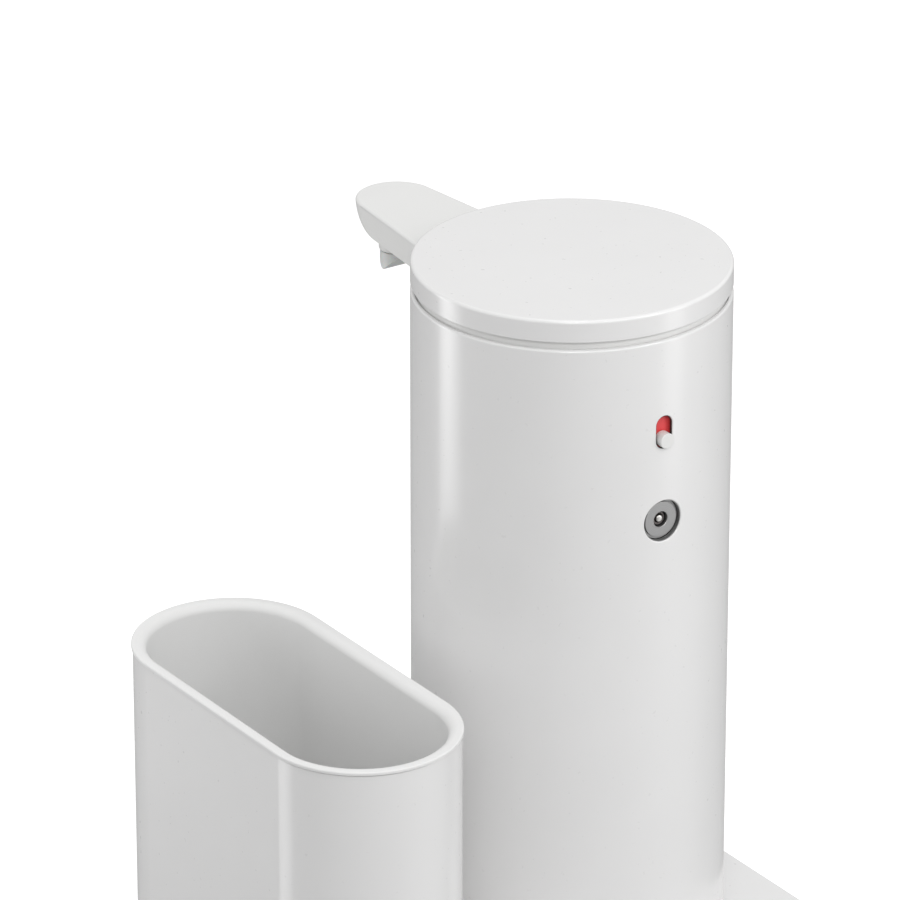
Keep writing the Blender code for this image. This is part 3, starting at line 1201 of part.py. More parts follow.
def build_deck():
    """Plate on the chassis bosses that carries the motor, the idler and the pump legs."""
    outline = grooved_outline(0.0)
    holes = [circle(BATTERY_RADIUS + 2 * SEAT_GAP, BORE_STEPS, (BATTERY_X, BATTERY_Y)),
             circle(MOTOR_NECK_RADIUS + SEAT_GAP, PIN_STEPS, motor_place()),
             circle(AXLE_RADIUS + SEAT_GAP, PIN_STEPS, idler_place()),
             circle(ROTOR_SHAFT_RADIUS + SEAT_GAP, PIN_STEPS, (PUMP_X, PUMP_Y)),
             circle(LEAD_RADIUS + 2 * SEAT_GAP, PIN_STEPS, (MOTOR_LEAD_X, MOTOR_LEAD_Y))]
    holes += [circle(SCREW_RADIUS + SCREW_CLEARANCE, PIN_STEPS, place) for place in boss_places()]
    prism("gear_deck", [outline] + holes, DECK_Z, DECK_TOP_Z, "natural_plastic")


def build_motor():
    place = (*motor_place(), 0.0)
    top = DECK_Z - SEAT_GAP
    low = top - MOTOR_LENGTH
    neck_top = DECK_TOP_Z
    profile = [(0.0, low), (MOTOR_RADIUS - MOTOR_EDGE, low), (MOTOR_RADIUS, low + MOTOR_EDGE),
               (MOTOR_RADIUS, top - MOTOR_EDGE), (MOTOR_RADIUS - MOTOR_EDGE, top),
               (MOTOR_NECK_RADIUS, top), (MOTOR_NECK_RADIUS, neck_top), (0.0, neck_top)]
    turned("motor_can", profile, "steel", RING_STEPS // 2, place)
    pinion_top = PINION_LOW_Z + GEAR_FACE
    turned("motor_shaft", rod_profile(MOTOR_SHAFT_RADIUS, neck_top + SEAT_GAP,
                                      pinion_top + GEAR_STACK_GAP), "steel", PIN_STEPS, place)
    bore = circle(MOTOR_SHAFT_RADIUS + SEAT_GAP, PIN_STEPS)
    phase = IDLER_TO_MOTOR_ANGLE + math.pi
    prism("motor_pinion", [gear_outline(PINION_TEETH, phase), bore], PINION_LOW_Z, pinion_top,
          "brass", place)


def build_idler():
    """Compound gear: large wheel driven by the motor, small wheel driving the pump."""
    place = (*idler_place(), 0.0)
    bore = circle(AXLE_RADIUS + AXLE_CLEARANCE, PIN_STEPS)
    wheel_phase = mesh_phase(IDLER_TEETH, IDLER_TO_MOTOR_ANGLE)
    small_phase = OUTPUT_TO_IDLER_ANGLE + math.pi
    small_top = OUTPUT_LOW_Z + GEAR_FACE
    wheel = prism("idler_gear", [gear_outline(IDLER_TEETH, wheel_phase), bore], PINION_LOW_Z,
                  SMALL_IDLER_LOW_Z, "white_plastic", place)
    small = prism("idler_small_wheel", [gear_outline(PINION_TEETH, small_phase), bore],
                  SMALL_IDLER_LOW_Z - GEAR_FACE / 2, small_top, None, place)
    add(wheel, small)
    turned("idler_axle", rod_profile(AXLE_RADIUS, DECK_Z, PUMP_FLOOR_Z - SEAT_GAP), "steel",
           PIN_STEPS, place)


def build_output():
    place = (PUMP_X, PUMP_Y, 0.0)
    bore = circle(ROTOR_SHAFT_RADIUS + SEAT_GAP, BORE_STEPS)
    phase = mesh_phase(OUTPUT_TEETH, OUTPUT_TO_IDLER_ANGLE)
    prism("output_gear", [gear_outline(OUTPUT_TEETH, phase), bore], OUTPUT_LOW_Z,
          OUTPUT_LOW_Z + GEAR_FACE, "white_plastic", place)
    turned("rotor_shaft", rod_profile(ROTOR_SHAFT_RADIUS, DECK_Z, PUMP_TOP_Z - SEAT_GAP),
           "steel", PIN_STEPS, place)


# Peristaltic pump

def pump_outline(radius, reach):
    """U-shaped plan about the pump axis: half circle behind, straight sides to the front."""
    back = arc((PUMP_X, PUMP_Y), radius, 0.0, math.pi, BORE_STEPS)
    return back + [(PUMP_X - radius, PUMP_Y - reach), (PUMP_X + radius, PUMP_Y - reach)]


def build_pump_housing():
    """Moulded housing whose half-round raceway backs the tube; the legs stand on the deck."""
    outer = pump_outline(RACEWAY_RADIUS + PUMP_WALL, PUMP_FRONT_REACH)
    inner = pump_outline(RACEWAY_RADIUS, PUMP_FRONT_REACH - PUMP_FRONT_WALL)
    sections = [at_height(outer, PUMP_FLOOR_Z), at_height(outer, PUMP_TOP_Z),
                at_height(inner, PUMP_TOP_Z), at_height(inner, PUMP_CAVITY_Z)]
    housing = lofted("pump_housing", sections, "white_plastic")
    cut(housing, hole_cutter("pump_shaft_hole", ROTOR_SHAFT_RADIUS + SEAT_GAP,
                             (PUMP_X, PUMP_Y, PUMP_FLOOR_Z), -OVERRUN, PUMP_FLOOR + OVERRUN))
    for index, side in enumerate((-1, 1)):
        leg = hole_cutter("pump_tube_hole_%d" % index, PUMP_TUBE_AXIAL + SEAT_GAP,
                          (PUMP_X + side * TUBE_TRACK, PUMP_Y, TUBE_Z), 0.0,
                          PUMP_FRONT_REACH + OVERRUN, (math.pi / 2, 0.0, 0.0))
        cut(housing, leg)
    for index, place in enumerate(pump_leg_places()):
        add(housing, hole_cutter("pump_leg_%d" % index, PUMP_LEG_RADIUS, (*place, 0.0),
                                 DECK_TOP_Z + SEAT_GAP, PUMP_FLOOR_Z + PUMP_FLOOR / 2,
                                 steps=PIN_STEPS))
    prism("pump_cover", [outer, circle(ROTOR_SHAFT_RADIUS + SEAT_GAP, PIN_STEPS,
                                       (PUMP_X, PUMP_Y))],
          PUMP_COVER_Z, PUMP_COVER_Z + PUMP_COVER, "clear_plastic")


def pump_leg_places():
    """Legs at the two front corners, clear of the output gear."""
    reach = RACEWAY_RADIUS + PUMP_WALL - PUMP_LEG_RADIUS
    front = PUMP_Y - PUMP_FRONT_REACH + PUMP_LEG_RADIUS
    return [(PUMP_X - reach, front), (PUMP_X + reach, front)]


def build_pump_rotor():
    """Rotor with three pinned rollers that squeeze the tube against the raceway."""
    low = PUMP_CAVITY_Z + SEAT_GAP
    high = PUMP_TOP_Z - SEAT_GAP
    bore = ROTOR_SHAFT_RADIUS + SEAT_GAP
    profile = [(bore, low), (ROTOR_DISC_RADIUS, low), (ROTOR_DISC_RADIUS, low + ROTOR_DISC),
               (ROTOR_HUB_RADIUS, low + ROTOR_DISC), (ROTOR_HUB_RADIUS, high - ROTOR_DISC),
               (ROTOR_DISC_RADIUS, high - ROTOR_DISC), (ROTOR_DISC_RADIUS, high), (bore, high)]
    centre = (PUMP_X, PUMP_Y, 0.0)
    rotor = turned("pump_rotor", profile, "natural_plastic", BORE_STEPS, centre)
    places = [polar((PUMP_X, PUMP_Y), ROLLER_ORBIT, math.pi / 2 + 2 * math.pi * i / ROLLER_COUNT)
              for i in range(ROLLER_COUNT)]
    for index, place in enumerate(places):
        add(rotor, hole_cutter("roller_pin_%d" % index, ROLLER_PIN_RADIUS, (*place, 0.0),
                               low + ROTOR_DISC / 2, high - ROTOR_DISC / 2, steps=PIN_STEPS))
    profile = ring_profile(ROLLER_PIN_RADIUS + AXLE_CLEARANCE, ROLLER_RADIUS,
                           low + ROTOR_DISC + SEAT_GAP, high - ROTOR_DISC - SEAT_GAP)
    turned_each("roller", profile, [(*place, 0.0) for place in places], "white_plastic",
                BORE_STEPS)


def elbow(centre, start, end):
    """Quarter bend of a tube in the upright plane at the centre's X."""
    x, y, z = centre
    return [Vector((x, ay, az)) for ay, az in arc((y, z), TUBE_BEND, start, end, ROUTE_STEPS)]


def lead_on(route, *knots):
    """Carry a route on smoothly from its last point through more knots."""
    span = smooth_route([route[-2], route[-1], *knots], ROUTE_STEPS)
    return route + span[ROUTE_STEPS + 1:]


def build_tubes():
    """Soap path: tank to pump, round the raceway, and up the riser groove to the nozzle."""
    front = PUMP_Y - PUMP_FRONT_REACH
    bend = [polar((PUMP_X, PUMP_Y), TUBE_TRACK, math.pi * i / BORE_STEPS)
            for i in range(BORE_STEPS + 1)]
    track = [(PUMP_X + TUBE_TRACK, front)] + bend + [(PUMP_X - TUBE_TRACK, front)]
    hose("pump_tube", [Vector((x, y, TUBE_Z)) for x, y in track],
         (PUMP_TUBE_RADIAL, PUMP_TUBE_AXIAL), (PUMP_BORE_RADIAL, PUMP_BORE_AXIAL),
         "tube_silicone")

    start = front - SEAT_GAP
    lead = start - TUBE_RADIUS
    half = (TUBE_RADIUS, TUBE_RADIUS)
    bore = (TUBE_BORE, TUBE_BORE)
    right_angle = math.pi / 2

    def rise_from_pump(x):
        turn = elbow((x, lead, TUBE_Z + TUBE_BEND), -right_angle, -2 * right_angle)
        return [Vector((x, start, TUBE_Z))] + turn

    outlet_low = TANK_FLOOR_Z - OUTLET_LENGTH
    outlet = [Vector((OUTLET_X, OUTLET_Y, z)) for z in (outlet_low - TUBE_LEAD,
                                                        outlet_low - SEAT_GAP, TANK_FLOOR_Z)]
    hose("intake_tube", lead_on(rise_from_pump(PUMP_X + TUBE_TRACK), *outlet), half, bore,
         "tube_silicone")

    nozzle = -spout_end_centre()
    level = SPOUT_TOP_Z - SPOUT_WALL - SEAT_GAP - TUBE_RADIUS
    riser = [Vector((0.0, -RISER_Y, z)) for z in (outlet_low, outlet_low + TUBE_LEAD)]
    delivery = lead_on(rise_from_pump(PUMP_X - TUBE_TRACK), *riser)
    delivery += elbow((0.0, -RISER_Y - TUBE_BEND, level - TUBE_BEND), 0.0, right_angle)
    delivery += elbow((0.0, nozzle + TUBE_BEND, level - TUBE_BEND), right_angle, 2 * right_angle)
    delivery.append(Vector((0.0, nozzle, SPOUT_LOW_Z - COLLAR_LENGTH / 2)))
    hose("delivery_tube", delivery, half, bore, "tube_silicone")


def build_leads():
    """Battery and motor leads rising behind the tank to the lower edge of the board."""
    board_y = BOARD_Y + BOARD_THICKNESS / 2
    board_z = BOARD_LOW_Z
    half = (LEAD_RADIUS, LEAD_RADIUS)
    lead_low = BATTERY_TOP_Z + 2 * SEAT_GAP
    stub = [Vector((BATTERY_X, BATTERY_Y, lead_low + rise)) for rise in (0.0, BATTERY_LEAD_RISE)]
    route = lead_on(stub, *[Vector((BATTERY_LEAD_X, board_y, z))
                            for z in (TANK_FLOOR_Z, board_z - TUBE_LEAD, board_z)])
    hose("battery_lead", route, half, None, "black_plastic")

    motor = Vector(motor_place())
    away = (Vector((MOTOR_LEAD_X, MOTOR_LEAD_Y)) - motor).normalized()
    low = DECK_Z - MOTOR_LENGTH + MOTOR_LEAD_RISE
    start = motor + away * (MOTOR_RADIUS + SEAT_GAP)
    bend = start + away * TUBE_LEAD
    through_deck = [Vector((MOTOR_LEAD_X, MOTOR_LEAD_Y, z))
                    for z in (DECK_Z - MOTOR_LEAD_RISE, DECK_TOP_Z + MOTOR_LEAD_RISE)]
    behind_tank = [Vector((MOTOR_LEAD_X, board_y, z))
                   for z in (TANK_FLOOR_Z, board_z - TUBE_LEAD, board_z)]
    route = lead_on([Vector((*start, low)), Vector((*bend, low))], *through_deck, *behind_tank)
    hose("motor_lead", route, half, None, "black_plastic")


def build_battery():
    place = (BATTERY_X, BATTERY_Y, 0.0)
    floor = BATTERY_LOW_Z - SEAT_GAP
    low = floor - HOLDER_FLOOR
    bore = BATTERY_RADIUS + SEAT_GAP
    profile = [(0.0, low), (bore + HOLDER_WALL, low), (bore + HOLDER_WALL, low + HOLDER_HEIGHT),
               (bore, low + HOLDER_HEIGHT), (bore, floor), (0.0, floor)]
    turned("battery_holder", profile, "black_plastic", BORE_STEPS, place)
    button_z = BATTERY_TOP_Z + SEAT_GAP
    profile = [(0.0, BATTERY_LOW_Z), (BATTERY_RADIUS, BATTERY_LOW_Z),
               (BATTERY_RADIUS, BATTERY_TOP_Z), (BATTERY_BUTTON_RADIUS, BATTERY_TOP_Z),
               (BATTERY_BUTTON_RADIUS, button_z), (0.0, button_z)]
    turned("battery_cell", profile, "cell_wrap", BORE_STEPS, place)


clear_scene()
build_caddy_pad()
build_tray_core()
build_tray()
build_cup_sleeve()
build_cup_liner()
build_foot_and_base()
build_body_sleeve()
build_neck_ring()
build_lid()
build_chassis()
build_tank()
build_funnel()
build_spout()
build_spout_cover()
build_nozzle()
build_switch()
build_port()
build_board()
build_deck()
build_motor()
build_idler()
build_output()
build_pump_housing()
build_pump_rotor()
build_tubes()
build_battery()
build_leads()
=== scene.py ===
"""The automatic soap dispenser on its caddy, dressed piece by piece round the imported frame."""
import math

import bmesh
import bpy
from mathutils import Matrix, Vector


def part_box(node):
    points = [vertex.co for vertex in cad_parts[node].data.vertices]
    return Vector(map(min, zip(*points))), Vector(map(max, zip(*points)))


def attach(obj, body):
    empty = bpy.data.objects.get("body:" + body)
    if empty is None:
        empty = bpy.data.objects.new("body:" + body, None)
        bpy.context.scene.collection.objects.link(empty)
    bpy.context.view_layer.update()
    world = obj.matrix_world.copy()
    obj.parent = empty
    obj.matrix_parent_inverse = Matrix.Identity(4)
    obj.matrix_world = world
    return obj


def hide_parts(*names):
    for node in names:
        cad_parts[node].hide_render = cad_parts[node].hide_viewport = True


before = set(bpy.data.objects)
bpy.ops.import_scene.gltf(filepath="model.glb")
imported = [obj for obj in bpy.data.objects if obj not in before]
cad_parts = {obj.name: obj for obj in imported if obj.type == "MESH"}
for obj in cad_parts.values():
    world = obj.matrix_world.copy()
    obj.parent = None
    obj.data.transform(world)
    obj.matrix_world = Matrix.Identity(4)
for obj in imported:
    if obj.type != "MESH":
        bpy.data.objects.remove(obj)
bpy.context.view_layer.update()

MM = 0.001


# Caddy tray
# A flat tray pressed from 1.2 mm steel sheet, with a rolled top edge and a skirt that stops
# just above the worktop. It is powder coated in satin white like the tube, lid and cup, and
# screwed to the cup from below.

TRAY_SHEET = 1.2 * MM
TRAY_EDGE = 0.8 * MM
TRAY_CORNER = 21.0 * MM
SCREW_HOLE = 1.45 * MM
CUP_CORNER = 26.4 * MM
CORNER_SIDES = 28
PEEL_SIZE = 1.4 * MM
PEEL_DEPTH = 0.003 * MM
CLOUD_SIZE = 22.0 * MM
WELD = 0.0005 * MM
FLAT = 0.9999


class Signal:
    """A socket in a material's nodes; arithmetic on it adds the Math nodes it needs."""

    def __init__(self, tree, socket):
        self.tree = tree
        self.socket = socket

    def node(self, kind, settings, sockets, output=0):
        """Add any other node: its settings first, then the values or links of its sockets."""
        node = self.tree.nodes.new(kind)
        for name, value in settings.items():
            setattr(node, name, value)
        for name, value in sockets.items():
            if isinstance(value, Signal):
                self.tree.links.new(value.socket, node.inputs[name])
            else:
                node.inputs[name].default_value = value
        return Signal(self.tree, node.outputs[output])

    def maths(self, operation, other=0.0):
        return self.node("ShaderNodeMath", {"operation": operation}, {0: self, 1: other})

    def __add__(self, other):
        return self.maths("ADD", other)

    def __sub__(self, other):
        return self.maths("SUBTRACT", other)

    def __mul__(self, other):
        return self.maths("MULTIPLY", other)

    def __rsub__(self, other):
        return self.node("ShaderNodeMath", {"operation": "SUBTRACT"}, {0: other, 1: self})

    __radd__ = __add__
    __rmul__ = __mul__


def finish(name, fixed, pattern):
    """Make a material: even values go on the shader, and pattern(place) gives what varies."""
    material = bpy.data.materials.new(name)
    material.use_nodes = True
    tree = material.node_tree
    shader = tree.nodes["Principled BSDF"]
    for socket, value in fixed.items():
        shader.inputs[socket].default_value = value
    place = Signal(tree, tree.nodes.new("ShaderNodeTexCoord").outputs["Object"])
    for socket, signal in pattern(place).items():
        tree.links.new(signal.socket, shader.inputs[socket])
    return material


def grain(place, size, detail=2.0):
    """Even noise from 0 to 1 with spots of about the given size."""
    return place.node("ShaderNodeTexNoise", {}, {"Vector": place, "Scale": 1 / size,
                                                 "Detail": detail})


def tint(factor, deep, light):
    """Colour that runs from deep to light with the factor; each is a colour or a signal.

    The colours of a Mix node go in at its sockets 6 and 7 and come out at socket 2.
    """
    deep, light = [end if isinstance(end, Signal) else (*end, 1.0) for end in (deep, light)]
    return factor.node("ShaderNodeMix", {"data_type": "RGBA"}, {0: factor, 6: deep, 7: light}, 2)


def relief(height, depth):
    return height.node("ShaderNodeBump", {}, {"Distance": depth, "Height": height})


def grainy(deep, light, size, rough, depth=0.0, detail=2.0, cloud=0.0):
    """Pattern of fine spots in roughness and relief; they or wider clouds vary the colour."""
    least, most = rough

    def pattern(place):
        speck = grain(place, size, detail)
        shade = grain(place, cloud) if cloud else speck
        varied = {"Base Color": tint(shade, deep, light),
                  "Roughness": speck * (most - least) + least}
        if depth:
            varied["Normal"] = relief(speck, depth)
        return varied
    return pattern


satin_paint = finish("satin_white_paint", {"Coat Weight": 0.8, "Coat Roughness": 0.12},
                     grainy(deep=(0.795, 0.792, 0.790), light=(0.825, 0.822, 0.820),
                            size=PEEL_SIZE, rough=(0.26, 0.31), depth=PEEL_DEPTH,
                            cloud=CLOUD_SIZE))


def stop_editing():
    if bpy.context.mode == "EDIT_MESH":
        bpy.ops.object.mode_set(mode="OBJECT")
    bpy.ops.object.select_all(action="DESELECT")


def begin(add_primitive, **settings):
    """Add a primitive on its own, put its place in its mesh and open it for editing."""
    stop_editing()
    add_primitive(**settings)
    bpy.ops.object.transform_apply(location=True, rotation=True, scale=True)
    bpy.ops.object.mode_set(mode="EDIT")
    bpy.ops.mesh.select_mode(type="VERT")
    bpy.ops.mesh.select_all(action="SELECT")
    return bpy.context.object


def pick(kind, test):
    """Select only the faces, edges or vertices that pass the test."""
    bpy.ops.mesh.select_mode(type=kind)
    bpy.ops.mesh.select_all(action="DESELECT")
    shape = bmesh.from_edit_mesh(bpy.context.object.data)
    shape.normal_update()
    for item in {"FACE": shape.faces, "EDGE": shape.edges, "VERT": shape.verts}[kind]:
        if test(item):
            item.select_set(True)
    bmesh.update_edit_mesh(bpy.context.object.data)


def near(value, target, slack=0.01 * MM):
    return abs(value - target) < slack


def level_edges(z):
    """Test for edges that lie in the level plane at z."""
    return lambda edge: all(near(point.co.z, z) for point in edge.verts)


def facing_up(face):
    return face.normal.z > FLAT


def facing_down(face):
    return face.normal.z < -FLAT


def extrude(x=0.0, y=0.0, z=0.0):
    bpy.ops.mesh.extrude_region_move(TRANSFORM_OT_translate={"value": (x, y, z)})


def round_off(offset, segments, affect="EDGES"):
    """Bevel what is picked."""
    bpy.ops.mesh.bevel(offset=offset, segments=segments, affect=affect, clamp_overlap=False)


def face_out():
    """Turn every face of the open piece outwards."""
    bpy.ops.mesh.select_all(action="SELECT")
    bpy.ops.mesh.normals_make_consistent(inside=False)


def box_tool(low, high):
    """A plain block between two corners, left open for editing."""
    low, high = Vector(low), Vector(high)
    return begin(bpy.ops.mesh.primitive_cube_add, size=1.0, location=(low + high) / 2,
                 scale=high - low)


def rod_tool(radius, low, high, x=0.0, y=0.0, sides=32):
    """A plain upright rod, left open for editing."""
    return begin(bpy.ops.mesh.primitive_cylinder_add, vertices=sides, radius=radius,
                 depth=high - low, location=(x, y, (low + high) / 2))


def take_up(piece):
    """Make the piece the only one selected, outside edit mode."""
    stop_editing()
    piece.select_set(True)
    bpy.context.view_layer.objects.active = piece


def combine(piece, operation, *tools):
    """Cut the tools out of the piece, or join them to it, and throw the tools away."""
    take_up(piece)
    for tool in tools:
        modifier = piece.modifiers.new(operation, "BOOLEAN")
        modifier.operation = operation
        modifier.solver = "EXACT"
        modifier.object = tool
        bpy.ops.object.modifier_apply(modifier=modifier.name)
        bpy.data.objects.remove(tool)


def edit(piece):
    """Open a piece again for editing."""
    take_up(piece)
    bpy.ops.object.mode_set(mode="EDIT")


def complete(piece, name, body, slot, material, *nodes, sharp=35.0):
    """Weld the piece, turn its faces out, smooth it and hand it to the frame."""
    edit(piece)
    bpy.ops.mesh.select_all(action="SELECT")
    bpy.ops.mesh.remove_doubles(threshold=WELD)
    face_out()
    bpy.ops.object.mode_set(mode="OBJECT")
    piece.name = name
    piece.data.name = name
    piece.data.materials.clear()
    piece.data.materials.append(material)
    bpy.ops.object.shade_smooth_by_angle(angle=math.radians(sharp))
    weighted = piece.modifiers.new("weighted", "WEIGHTED_NORMAL")
    weighted.keep_sharp = True
    bpy.ops.object.modifier_apply(modifier=weighted.name)
    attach(piece, body)
    if nodes:
        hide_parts(*nodes)


def rounded_plate(node, inset):
    """Plate as large as a CAD node, with the tray's plan set in from the tray's edge."""
    low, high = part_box(node)
    middle = (low + high) / 2
    piece = begin(bpy.ops.mesh.primitive_plane_add, size=1.0, location=(middle.x, middle.y, low.z))
    bpy.ops.transform.resize(value=(high.x - low.x, high.y - low.y, 1.0))
    for side, radius in ((-1, TRAY_CORNER - inset), (1, CUP_CORNER - inset)):
        pick("VERT", lambda point: (point.co.x - middle.x) * side > 0)
        round_off(radius, CORNER_SIDES, affect="VERTICES")
    pick("FACE", lambda face: True)
    extrude(z=high.z - low.z)
    return piece


tray_low, tray_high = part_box("caddy_tray")
tray = rounded_plate("caddy_tray", 0.0)
pick("EDGE", level_edges(tray_high.z))
round_off(TRAY_EDGE, segments=6)
pick("FACE", facing_down)
bpy.ops.mesh.inset(thickness=TRAY_SHEET)
extrude(z=tray_high.z - TRAY_SHEET - tray_low.z)
cup_screws = [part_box("cup_screw_1"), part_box("cup_screw_2")]
cup_screw_places = [(low + high) / 2 for low, high in cup_screws]
combine(tray, "DIFFERENCE", *[rod_tool(SCREW_HOLE, tray_low.z, tray_high.z + MM, place.x, place.y)
                              for place in cup_screw_places])
complete(tray, "tray", "caddy", "painted_steel", satin_paint, "caddy_tray")


# Pad under the tray
# A sheet of grey silicone, 1.5 mm thick, glued inside the skirt of the tray. It is the only
# piece that touches the worktop, and its edge is slightly rounded from the mould.

PAD_INSET = 4.0 * MM
PAD_EDGE = 0.3 * MM
PAD_DIMPLE = 0.5 * MM
PAD_RELIEF = 0.01 * MM

grey_silicone = finish("grey_silicone", {"Sheen Weight": 0.1},
                       grainy(deep=(0.50, 0.50, 0.49), light=(0.58, 0.58, 0.57), size=PAD_DIMPLE,
                              rough=(0.5, 0.65), depth=PAD_RELIEF, detail=3.0))

pad_low, pad_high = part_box("caddy_pad")
pad = rounded_plate("caddy_pad", PAD_INSET)
pick("EDGE", lambda edge: level_edges(pad_low.z)(edge) or level_edges(pad_high.z)(edge))
round_off(PAD_EDGE, segments=3)
complete(pad, "pad", "caddy", "silicone", grey_silicone, "caddy_pad")


# Cup sleeve
# The outer cup: 1 mm steel drawn to a stadium plan, with a flat floor that two screws hold
# down on the tray. It has the same satin white coat as the tray.

CUP_SHEET = 1.0 * MM
SHEET_EASE = 0.15 * MM
CUP_SIDES = 160
cup_low, cup_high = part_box("cup_sleeve")
CUP_X = (cup_low.x + cup_high.x) / 2
CUP_RADIUS = (cup_high.x - cup_low.x) / 2
CUP_HALF_STRAIGHT = (cup_high.y - cup_low.y) / 2 - CUP_RADIUS


def stadium(radius, z):
    """Filled stadium outline: a circle whose halves are drawn apart along Y."""
    piece = begin(bpy.ops.mesh.primitive_circle_add, vertices=CUP_SIDES, radius=radius,
                  location=(CUP_X, 0.0, z), rotation=(0.0, 0.0, math.pi / CUP_SIDES),
                  fill_type="NGON")
    for side in (-1, 1):
        pick("VERT", lambda point: point.co.y * side > 0)
        bpy.ops.transform.translate(value=(0.0, side * CUP_HALF_STRAIGHT, 0.0))
    pick("FACE", lambda face: True)
    return piece


cup = stadium(CUP_RADIUS, cup_low.z)
extrude(z=cup_high.z - cup_low.z)
pick("FACE", facing_up)
bpy.ops.mesh.inset(thickness=CUP_SHEET)
extrude(z=cup_low.z + CUP_SHEET - cup_high.z)
pick("EDGE", level_edges(cup_high.z))
round_off(SHEET_EASE, segments=2)
combine(cup, "DIFFERENCE", *[rod_tool(SCREW_HOLE, cup_low.z - MM, cup_low.z + 2 * CUP_SHEET,
                                      place.x, place.y) for place in cup_screw_places])
complete(cup, "cup", "caddy", "painted_steel", satin_paint, "cup_sleeve")


# Cup liner
# The lift-out lining, moulded in white plastic with a fine satin texture. Its rounded lip
# rests on the rim of the sleeve and rolls over into the wall; its floor is filleted.

LIP_THICKNESS = 0.9 * MM
LIP_FLAT = 1.6 * MM
LINER_OVERLAP = 1.7 * MM
LINER_INNER = 22.0 * MM
LINER_FLOOR = 2.5 * MM
LINER_FILLET = 4.0 * MM
LINER_SPARK = 0.28 * MM
LINER_RELIEF = 0.006 * MM
LIP_STEPS = 5
ROLL_STEPS = 9
FLOOR_STEPS = 5
liner_low, liner_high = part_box("cup_liner")
LIP_RADIUS = (liner_high.x - liner_low.x) / 2

liner_plastic = finish("satin_liner_plastic", {},
                       grainy(deep=(0.76, 0.76, 0.755), light=(0.80, 0.80, 0.795),
                              size=LINER_SPARK, rough=(0.42, 0.58), depth=LINER_RELIEF,
                              detail=4.0))


def step_in(radius, from_angle, to_angle, steps, side=-1):
    """Inset and drop the picked face along a round stretch of the given radius."""
    angles = [from_angle + (to_angle - from_angle) * step / steps for step in range(steps + 1)]
    for start, end in zip(angles, angles[1:]):
        bpy.ops.mesh.inset(thickness=radius * abs(math.sin(end) - math.sin(start)),
                           depth=side * radius * abs(math.cos(end) - math.cos(start)))


lip_low = liner_high.z - LIP_THICKNESS
lip_edge = LIP_THICKNESS / 2
mouth_roll = LIP_RADIUS - LIP_FLAT - LINER_INNER
liner = stadium(LIP_RADIUS, lip_low)
extrude(z=LIP_THICKNESS)
pick("EDGE", level_edges(liner_high.z))
round_off(lip_edge, LIP_STEPS)
pick("FACE", facing_up)
bpy.ops.mesh.inset(thickness=LIP_FLAT - lip_edge)
step_in(mouth_roll, 0.0, math.pi / 2, ROLL_STEPS)
wall_foot = liner_low.z + LINER_FLOOR + LINER_FILLET
extrude(z=wall_foot - (liner_high.z - mouth_roll))
step_in(LINER_FILLET, math.pi / 2, math.pi, ROLL_STEPS)
pick("FACE", facing_down)
bpy.ops.mesh.inset(thickness=LINER_OVERLAP)
extrude(z=liner_low.z + LINER_FILLET / 2 - lip_low)
step_in(LINER_FILLET / 2, math.pi / 2, math.pi, FLOOR_STEPS, side=1)
complete(liner, "liner", "liner", "liner_plastic", liner_plastic, "cup_liner", sharp=30.0)


# Foot ring and base cover
# The dispenser stands on a ring of grey silicone pressed into a groove of the white moulded
# base cover, which three screws hold up against the bosses inside the tube.

RING_SIDES = 96
SOFT_EDGE = 0.25 * MM
MOULD_SIZE = 0.35 * MM
MOULD_RELIEF = 0.003 * MM
SINK_RADIUS = 2.4 * MM
CORNER_CUT = 0.293

white_plastic = finish("white_moulding", {"Coat Weight": 0.1, "Coat Roughness": 0.15},
                       grainy(deep=(0.775, 0.775, 0.765), light=(0.805, 0.805, 0.795),
                              size=MOULD_SIZE, rough=(0.34, 0.42), depth=MOULD_RELIEF, detail=3.0,
                              cloud=CLOUD_SIZE))


def turned(profile, sides=RING_SIDES, x=0.0, y=0.0, z=0.0, facing_back=False, solid=False):
    """Draw a ring along the (radius, height) profile, as a lathe would cut the piece."""
    (radius, height), *rest = profile
    turn = (-math.pi / 2, 0.0, 0.0) if facing_back else (0.0, 0.0, 0.0)
    place = (x, y + height, z) if facing_back else (x, y, z + height)
    piece = begin(bpy.ops.mesh.primitive_circle_add, vertices=sides, radius=radius, location=place,
                  rotation=turn, fill_type="NGON" if solid else "NOTHING")
    for next_radius, next_height in rest if solid else rest + [profile[0]]:
        rise = next_height - height
        grow = next_radius / radius
        if facing_back:
            extrude(y=rise)
            bpy.ops.transform.resize(value=(grow, 1.0, grow))
        else:
            extrude(z=rise)
            bpy.ops.transform.resize(value=(grow, grow, 1.0))
        radius, height = next_radius, next_height
    return piece


def eased(profile, ease=SOFT_EDGE):
    """Round every corner of a profile with two points set back from it."""
    points = []
    for index, corner in enumerate(profile):
        here = Vector(corner)
        before = Vector(profile[index - 1]) - here
        after = Vector(profile[(index + 1) % len(profile)]) - here
        reach = min(ease, before.length / 3, after.length / 3)
        points += [tuple(here + before.normalized() * reach),
                   tuple(here + (before.normalized() + after.normalized()) * reach * CORNER_CUT),
                   tuple(here + after.normalized() * reach)]
    return points


foot_low, foot_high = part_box("foot_ring")
FOOT_OUTER = foot_high.x
FOOT_INNER = 31.0 * MM
foot = turned(eased([(FOOT_INNER, foot_low.z), (FOOT_OUTER, foot_low.z), (FOOT_OUTER, foot_high.z),
                     (FOOT_INNER, foot_high.z)], 2 * SOFT_EDGE))
complete(foot, "foot", "dispenser", "silicone", grey_silicone, "foot_ring")

